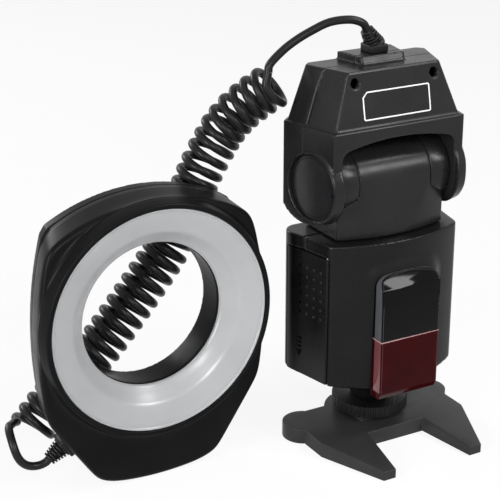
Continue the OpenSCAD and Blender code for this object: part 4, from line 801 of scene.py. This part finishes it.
def ear_lay(side):
    across = Vector((side * math.sin(EAR_TURN), math.cos(EAR_TURN), 0))
    out = Vector((side * math.cos(EAR_TURN), -math.sin(EAR_TURN), 0))

    def lay(p, height):
        axis = Vector((0, 0, TILT_Z))
        return axis + out * (EAR_X + height) + across * p[0] + Vector((0, 0, p[1]))
    return lay


def make_ear_groove_shade():
    bm = bmesh.new()
    for side in (-1, 1):
        lay = ear_lay(side)
        for inset, width in GROOVES:
            radius = DISC_R - inset
            add_line_frame(bm, circle_points((0, 0), radius, GROOVE_POINTS),
                           circle_points((0, 0), radius - width, GROOVE_POINTS), lay, GROOVE_H)
        r = DISC_R - NOTCH_IN
        add_patch(bm, box_points(-r, -r + NOTCH_L, -NOTCH_HALF, NOTCH_HALF), lay, GROOVE_H)
    place("ear_groove_shade", bm, hole_shade_black, "cap")


# Boots: a tapering core with rib rings, each broken by slits that are staggered from ring to ring
BOOT_ROOT_R, BOOT_TIP_R, BOOT_RINGS, SLIT = 0.0047, 0.0030, 5, 34
BOOT_HOLE_R, FLANGE_H, FLANGE_TOP, TIP_H = 0.0002, 0.0006, 0.0008, 0.0003
# How far the core lies inside the ribs at its root and at its tip
ROOT_IN, TIP_IN = 0.0011, 0.0007
RIB_START, RIB_DEPTH, RIB_STEPS = 0.0009, 0.0012, 14
# Each rib's start and height as shares of the pitch, and its softened edges
RIB_AT, RIB_SHARE = 0.25, 0.68
RIB_EDGE, RIB_LOW_IN, RIB_HIGH_IN = 0.0001, 0.00015, 0.00025
# How far each boot reaches into what it stands on
UPPER_SUNK, LOWER_SUNK = 0.0012, 0.0002


def boot_axes(direction):
    side = Vector((0, 1, 0))
    return side, direction.cross(side).normalized()


def add_turned(bm, at, direction, profile, start=0, stop=360, steps=32):
    """A turned strip about an axis, from pairs of radius and height; its ends are closed by faces
    unless it goes all round."""
    e, f = boot_axes(direction)
    whole = stop - start >= 360
    angles = [math.radians(start + (stop - start) * k / steps)
              for k in range(steps if whole else steps + 1)]
    rows = [[bm.verts.new(at + direction * h + r * (math.cos(a) * e + math.sin(a) * f))
             for a in angles] for r, h in profile]
    join_rows(bm, rows, whole)
    if not whole:
        for k in (0, -1):
            bm.faces.new([row[k] for row in rows])


def make_boot(name, node, body, root, direction, sunk):
    bm = bmesh.new()
    core = [(BOOT_HOLE_R, -sunk), (BOOT_ROOT_R, -sunk), (BOOT_ROOT_R, FLANGE_H),
            (BOOT_ROOT_R - ROOT_IN, FLANGE_TOP), (BOOT_TIP_R - TIP_IN, BOOT_L - TIP_H),
            (CORD_D / 2, BOOT_L)]
    add_turned(bm, root, direction, core)
    step = (BOOT_L - RIB_START) / BOOT_RINGS
    for ring in range(BOOT_RINGS):
        h0 = RIB_START + ring * step + RIB_AT * step
        r = BOOT_ROOT_R + (BOOT_TIP_R - BOOT_ROOT_R) * h0 / BOOT_L
        inner, h1 = r - RIB_DEPTH, h0 + RIB_SHARE * step
        rib = [(inner, h0), (r - RIB_LOW_IN, h0), (r, h0 + RIB_EDGE), (r - RIB_EDGE, h1 - RIB_EDGE),
               (r - RIB_HIGH_IN, h1), (inner, h1)]
        for half in (0, 180):
            first = half + (90 if ring % 2 else 0) + SLIT / 2
            add_turned(bm, root, direction, rib, first, first + 180 - SLIT, RIB_STEPS)
    piece = place(name, bm, rubber, body)
    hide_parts(node)


COLLAR_HALF, COLLAR_CORNER, LEAST_CORNER = 0.0050, 0.0016, 0.0004
# Change of the corner's radius and height of each row; the last row closes in on the boot
COLLAR_ROWS = ((0, -0.0016), (0, COLLAR_T - 0.0007), (-0.0002, COLLAR_T - 0.0002),
               (-0.0007, COLLAR_T), (-0.0030, COLLAR_T + 0.0001))
CLOSES_IN = -0.002


def make_lower_collar():
    """A square-shouldered collar between the housing's slope and the lower boot."""
    bm = bmesh.new()
    e, f = boot_axes(LOWER_DIR)
    half, c = COLLAR_HALF, COLLAR_HALF - COLLAR_CORNER
    rows = []
    for grow, h in COLLAR_ROWS:
        radius = max(COLLAR_CORNER + grow, LEAST_CORNER)
        outline = []
        for sx, sy, start in ((1, 1, 0), (-1, 1, 90), (-1, -1, 180), (1, -1, 270)):
            outline += arc_points((sx * c, sy * c), radius, start, start + 90, 5)
        if grow <= CLOSES_IN:
            outline = [(x * (half + grow) / half, y * (half + grow) / half) for x, y in outline]
        rows.append([bm.verts.new(LOWER_ROOT + LOWER_DIR * h + e * x + f * y) for x, y in outline])
    join_rows(bm, rows, True)
    bm.faces.new(rows[-1])
    piece = place("lower_collar", bm, rubber, "control_unit")
    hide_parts("lower_boot")


# Plain marks on the control panel: a tick under each lamp, and a bar and a ring beside the switch
PANEL_Y, LAMP_Z, LAMP_PITCH, LAMP_COUNT, SWITCH_Z = 0.0189, 0.08638, 0.0062857, 8, 0.04404
TICK_HALF, TICK_LOW, TICK_HIGH, MARK_H = 0.00025, 0.0042, 0.0022, 0.00005
SWITCH_MARK_X, SWITCH_MARK_R, SWITCH_MARK_IN, MARK_POINTS = 0.0105, 0.0015, 0.0010, 24


def on_panel(p, height):
    return Vector((p[0], PANEL_Y + height, p[1]))


def make_panel_marks():
    bm = bmesh.new()
    for k in range(LAMP_COUNT):
        x = (k - (LAMP_COUNT - 1) / 2) * LAMP_PITCH
        tick = box_points(x - TICK_HALF, x + TICK_HALF, LAMP_Z - TICK_LOW, LAMP_Z - TICK_HIGH)
        add_patch(bm, tick, on_panel, MARK_H)
    x = SWITCH_MARK_X
    bar = box_points(x - TICK_HALF, x + TICK_HALF,
                     SWITCH_Z - SWITCH_MARK_R, SWITCH_Z + SWITCH_MARK_R)
    add_patch(bm, bar, on_panel, MARK_H)
    add_line_frame(bm, circle_points((-x, SWITCH_Z), SWITCH_MARK_R, MARK_POINTS),
                   circle_points((-x, SWITCH_Z), SWITCH_MARK_IN, MARK_POINTS), on_panel, MARK_H)
    place("panel_marks", bm, grey_print, "control_unit")


# Front of the ring head: the outline at each depth, with soft corners, lofted round the bezel
BEZEL_R, BEZEL_TOP, BEZEL_OUT, SEAT_R = 55.7, 54.1, 0.6, 51.95
SOFT, EDGE_R = 1.1, 2.6
BROW_LEAN = -math.radians(34)
# Radius and depth from the diffuser's seat over the bezel, then the bezel's sloping outer wall
BEZEL_ROWS = [(SEAT_R, 1.2), (SEAT_R, -0.25), (SEAT_R + 0.1, -0.5), (SEAT_R + 0.35, -BEZEL_OUT),
              (BEZEL_TOP - 0.4, -BEZEL_OUT), (BEZEL_TOP - 0.1, -0.48), (BEZEL_TOP + 0.1, -0.15)]
BEZEL_RUN, BEZEL_FALL = 1.2, 4.4
# Fillet from the bezel's foot to the face: where it starts, its height and how fast it runs out
FILLET_AT, FILLET_H, FILLET_RUN, FILLET_FADE = 1.3, 1.75, 1.6, 1.2
SEAM_ROUND, SEAM_SHY, SEAM_IN = 0.25, 0.02, 2.0
BEZEL_STEPS, FACE_STEPS, EDGE_STEPS, WALL_STEPS = 4, 8, 6, 4
RING_STEPS, DISH_STEPS = 240, 192
FACES_AWAY, NO_EXIT = 0.01, 999.0


def circle_exit(cx, cz, radius, c, s):
    """Distance at which a ray from the ring's middle leaves a circle."""
    near = c * cx + s * cz
    return near + math.sqrt(near * near - cx * cx - cz * cz + radius * radius)


def plane_exit(at, facing, drawn, c, s):
    """Distance to a plane that faces an angle below the horizontal, on the ray's own side."""
    nx, nz = math.cos(facing), -math.sin(facing)
    towards = nx * abs(c) + nz * s
    if towards <= FACES_AWAY:
        return NO_EXIT
    return (nx * at[0] + nz * at[1] - drawn) / towards


def ring_radius(angle, depth):
    """The housing's outline at a depth: the nearest of its sides, blended at the corners."""
    c, s = math.cos(angle), math.sin(angle)
    share = (depth - FACE_D) / (DEPTH - FACE_D)
    drawn = TAPER * share
    swell = SWELL * min(1.0, (depth - FACE_D) / (SEAM_D - FACE_D))
    exits = [circle_exit(0, RING_RISE - TOP_R, TOP_R + swell, c, s),
             circle_exit(0, BOTTOM_R - RING_DROP, BOTTOM_R, c, s),
             circle_exit(HALF_W - SIDE_R, -WAIST, SIDE_R - drawn, c, s),
             circle_exit(SIDE_R - HALF_W, -WAIST, SIDE_R - drawn, c, s),
             plane_exit(CHEEK, CHEEK_LEAN, drawn, c, s),
             plane_exit(HEEL, (math.pi / 2 + CHEEK_LEAN) / 2, drawn / 2, c, s),
             plane_exit(BROW, BROW_LEAN, drawn / 2, c, s)]
    least = min(exits)
    return least - math.log(sum(math.exp(-SOFT * (r - least)) for r in exits)) / SOFT


def ring_profile(angle):
    """Radius and depth from the diffuser's seat over the bezel and the face to the seam."""
    top_r, top_d = BEZEL_ROWS[-1]
    rows = BEZEL_ROWS + [
        (top_r + BEZEL_RUN * k / BEZEL_STEPS, top_d + BEZEL_FALL * k / BEZEL_STEPS)
        for k in range(1, BEZEL_STEPS + 1)]
    flat = max(ring_radius(angle, FACE_D) - EDGE_R, BEZEL_R)
    for k in range(1, FACE_STEPS + 1):
        t = k / FACE_STEPS
        run = (flat - BEZEL_TOP - FILLET_AT) * t
        lift = FILLET_H * math.exp(-run / FILLET_RUN - FILLET_FADE * t)
        rows.append((BEZEL_TOP + FILLET_AT + run, FACE_D - lift))
    wall_at = FACE_D + EDGE_R
    wall_r = ring_radius(angle, wall_at)
    last = rows[-1][1]
    for k in range(1, EDGE_STEPS + 1):
        turn = math.pi / 2 * k / EDGE_STEPS
        rows.append((flat + (wall_r - flat) * math.sin(turn),
                     last + (wall_at - last) * (1 - math.cos(turn))))
    for k in range(1, WALL_STEPS + 1):
        depth = wall_at + (SEAM_D - SEAM_ROUND - wall_at) * k / WALL_STEPS
        rows.append((ring_radius(angle, depth), depth))
    edge = ring_radius(angle, SEAM_D)
    return rows + [(edge - SEAM_ROUND, SEAM_D - SEAM_SHY), (edge - SEAM_IN, SEAM_D - SEAM_SHY)]


def turned(name, profiles, mat, slot, node):
    """A mesh about the ring's axis from one profile of radius and depth for each step round."""
    bm = bmesh.new()
    rings = []
    for k, profile in enumerate(profiles):
        angle = 2 * math.pi * k / len(profiles)
        c, s = math.cos(angle), math.sin(angle)
        rings.append([bm.verts.new(RING_AT + Vector((r * c, d, r * s)) * MM) for r, d in profile])
    for a, b in zip(rings, rings[1:] + rings[:1]):
        for j in range(len(a) - 1):
            bm.faces.new((a[j], b[j], b[j + 1], a[j + 1]))
    piece = place(name, bm, mat, "control_unit")
    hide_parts(node)


# Profile of the dished diffuser, and how far and over how many steps its corners are rounded
DISH = [(51.85, 1.8), (51.85, 0.0), (50.9, 0.0), (50.6, 0.5), (49.6, 0.55), (40.6, 3.3),
        (36.4, 7.3), (33.8, 9.3), (33.8, 10.8)]
DISH_ROUND, DISH_SHARE, DISH_ROUND_STEPS = 1.6, 0.45, 6


def dish_profile():
    """The points of the dish with every inner corner rounded."""
    path = [DISH[0]]
    for a, b, c in zip(DISH, DISH[1:], DISH[2:]):
        a, b, c = Vector(a), Vector(b), Vector(c)
        p = b + (a - b).normalized() * min(DISH_ROUND, (a - b).length * DISH_SHARE)
        q = b + (c - b).normalized() * min(DISH_ROUND, (c - b).length * DISH_SHARE)
        for k in range(DISH_ROUND_STEPS + 1):
            t = k / DISH_ROUND_STEPS
            path.append(tuple(p * (1 - t) ** 2 + b * 2 * t * (1 - t) + q * t * t))
    path.append(DISH[-1])
    return path


def make_ring():
    turned("ring_front", [ring_profile(2 * math.pi * k / RING_STEPS) for k in range(RING_STEPS)],
           ring_black, "head_plastic", "ring_front_shell")
    turned("ring_dish", [dish_profile()] * DISH_STEPS, diffuser, "frosted", "ring_diffuser")


make_ring()
make_label()
make_door_details()
make_window_rim()
make_window_line()
make_window_edge_highlights()
make_ear_groove_shade()
make_boot("boot_upper", "upper_boot", "cap", UPPER_ROOT, UPPER_DIR, UPPER_SUNK)
make_boot("boot_lower", "lower_boot", "control_unit", LOWER_ROOT + COLLAR_T * LOWER_DIR, LOWER_DIR,
          LOWER_SUNK)
make_lower_collar()
make_panel_marks()


# Lamps: place, size in metres and power in watts; all point at the middle of the object
AIM = Vector((-0.06, 0, 0.09))
STUDIO = {
    "key": ((-0.42, -0.84, 0.52), (0.34, 0.30), 5),
    "front": ((0.469, -0.79, 0.638), (0.26, 0.22), 5),
    "left": ((-1.00, -0.26, 0.32), (0.30, 0.44), 8),
    "top": ((0.55, -0.38, 0.98), (0.30, 0.26), 5),
    "back": ((-0.45, 1.00, 0.60), (0.50, 0.40), 6),
}


def make_lamp(name, at, size, power):
    data = bpy.data.lights.new(name, "AREA")
    data.shape = "RECTANGLE"
    data.size, data.size_y = size
    data.energy = power
    lamp = bpy.data.objects.new(name, data)
    lamp.location = at
    lamp.rotation_euler = (AIM - Vector(at)).to_track_quat("-Z", "Y").to_euler()
    bpy.context.scene.collection.objects.link(lamp)


for name, (at, size, power) in STUDIO.items():
    make_lamp(name, at, size, power)


# World and floor, both plain white where they are seen
WHITE = (1, 1, 1, 1)
WORLD_LIGHT, WORLD_SEEN = 0.12, 1
FLOOR_HALF, FLOOR_PALE, FLOOR_GLOW = 25, (0.86, 0.86, 0.86, 1), 0.87


def background_share(tree):
    """1 for rays that see the plain background: from the camera, in gloss and through glass."""
    path = tree.nodes.new("ShaderNodeLightPath")
    gloss = tree.nodes.new("ShaderNodeMath")
    gloss.operation = "MAXIMUM"
    link(tree, path, "Is Camera Ray", gloss, 0)
    link(tree, path, "Is Glossy Ray", gloss, 1)
    glass = tree.nodes.new("ShaderNodeMath")
    glass.operation = "MAXIMUM"
    link(tree, gloss, 0, glass, 0)
    link(tree, path, "Is Transmission Ray", glass, 1)
    return glass


def make_world():
    world = bpy.data.worlds.new("studio")
    bpy.context.scene.world = world
    world.use_nodes = True
    tree = world.node_tree
    tree.nodes.clear()
    out = tree.nodes.new("ShaderNodeOutputWorld")
    mix = tree.nodes.new("ShaderNodeMixShader")
    plain = tree.nodes.new("ShaderNodeBackground")
    plain.inputs["Color"].default_value = WHITE
    plain.inputs["Strength"].default_value = WORLD_LIGHT
    seen = tree.nodes.new("ShaderNodeBackground")
    seen.inputs["Color"].default_value = WHITE
    seen.inputs["Strength"].default_value = WORLD_SEEN
    link(tree, background_share(tree), 0, mix, "Fac")
    tree.links.new(plain.outputs[0], mix.inputs[1])
    tree.links.new(seen.outputs[0], mix.inputs[2])
    tree.links.new(mix.outputs[0], out.inputs["Surface"])


def make_floor():
    bm = bmesh.new()
    bmesh.ops.create_grid(bm, x_segments=1, y_segments=1, size=FLOOR_HALF)
    mat = bpy.data.materials.new("floor")
    mat.use_nodes = True
    tree = mat.node_tree
    tree.nodes.clear()
    out = tree.nodes.new("ShaderNodeOutputMaterial")
    mix = tree.nodes.new("ShaderNodeMixShader")
    pale = tree.nodes.new("ShaderNodeBsdfDiffuse")
    pale.inputs["Color"].default_value = FLOOR_PALE
    glow = tree.nodes.new("ShaderNodeEmission")
    glow.inputs["Strength"].default_value = 1
    share = tree.nodes.new("ShaderNodeMath")
    share.operation = "MULTIPLY"
    share.inputs[1].default_value = FLOOR_GLOW
    link(tree, background_share(tree), 0, share, 0)
    tree.links.new(share.outputs[0], mix.inputs[0])
    tree.links.new(pale.outputs[0], mix.inputs[1])
    tree.links.new(glow.outputs[0], mix.inputs[2])
    tree.links.new(mix.outputs[0], out.inputs["Surface"])
    floor = add_mesh("floor", bm, mat, False)


make_world()
make_floor()
bpy.context.scene.view_settings.view_transform = "Standard"
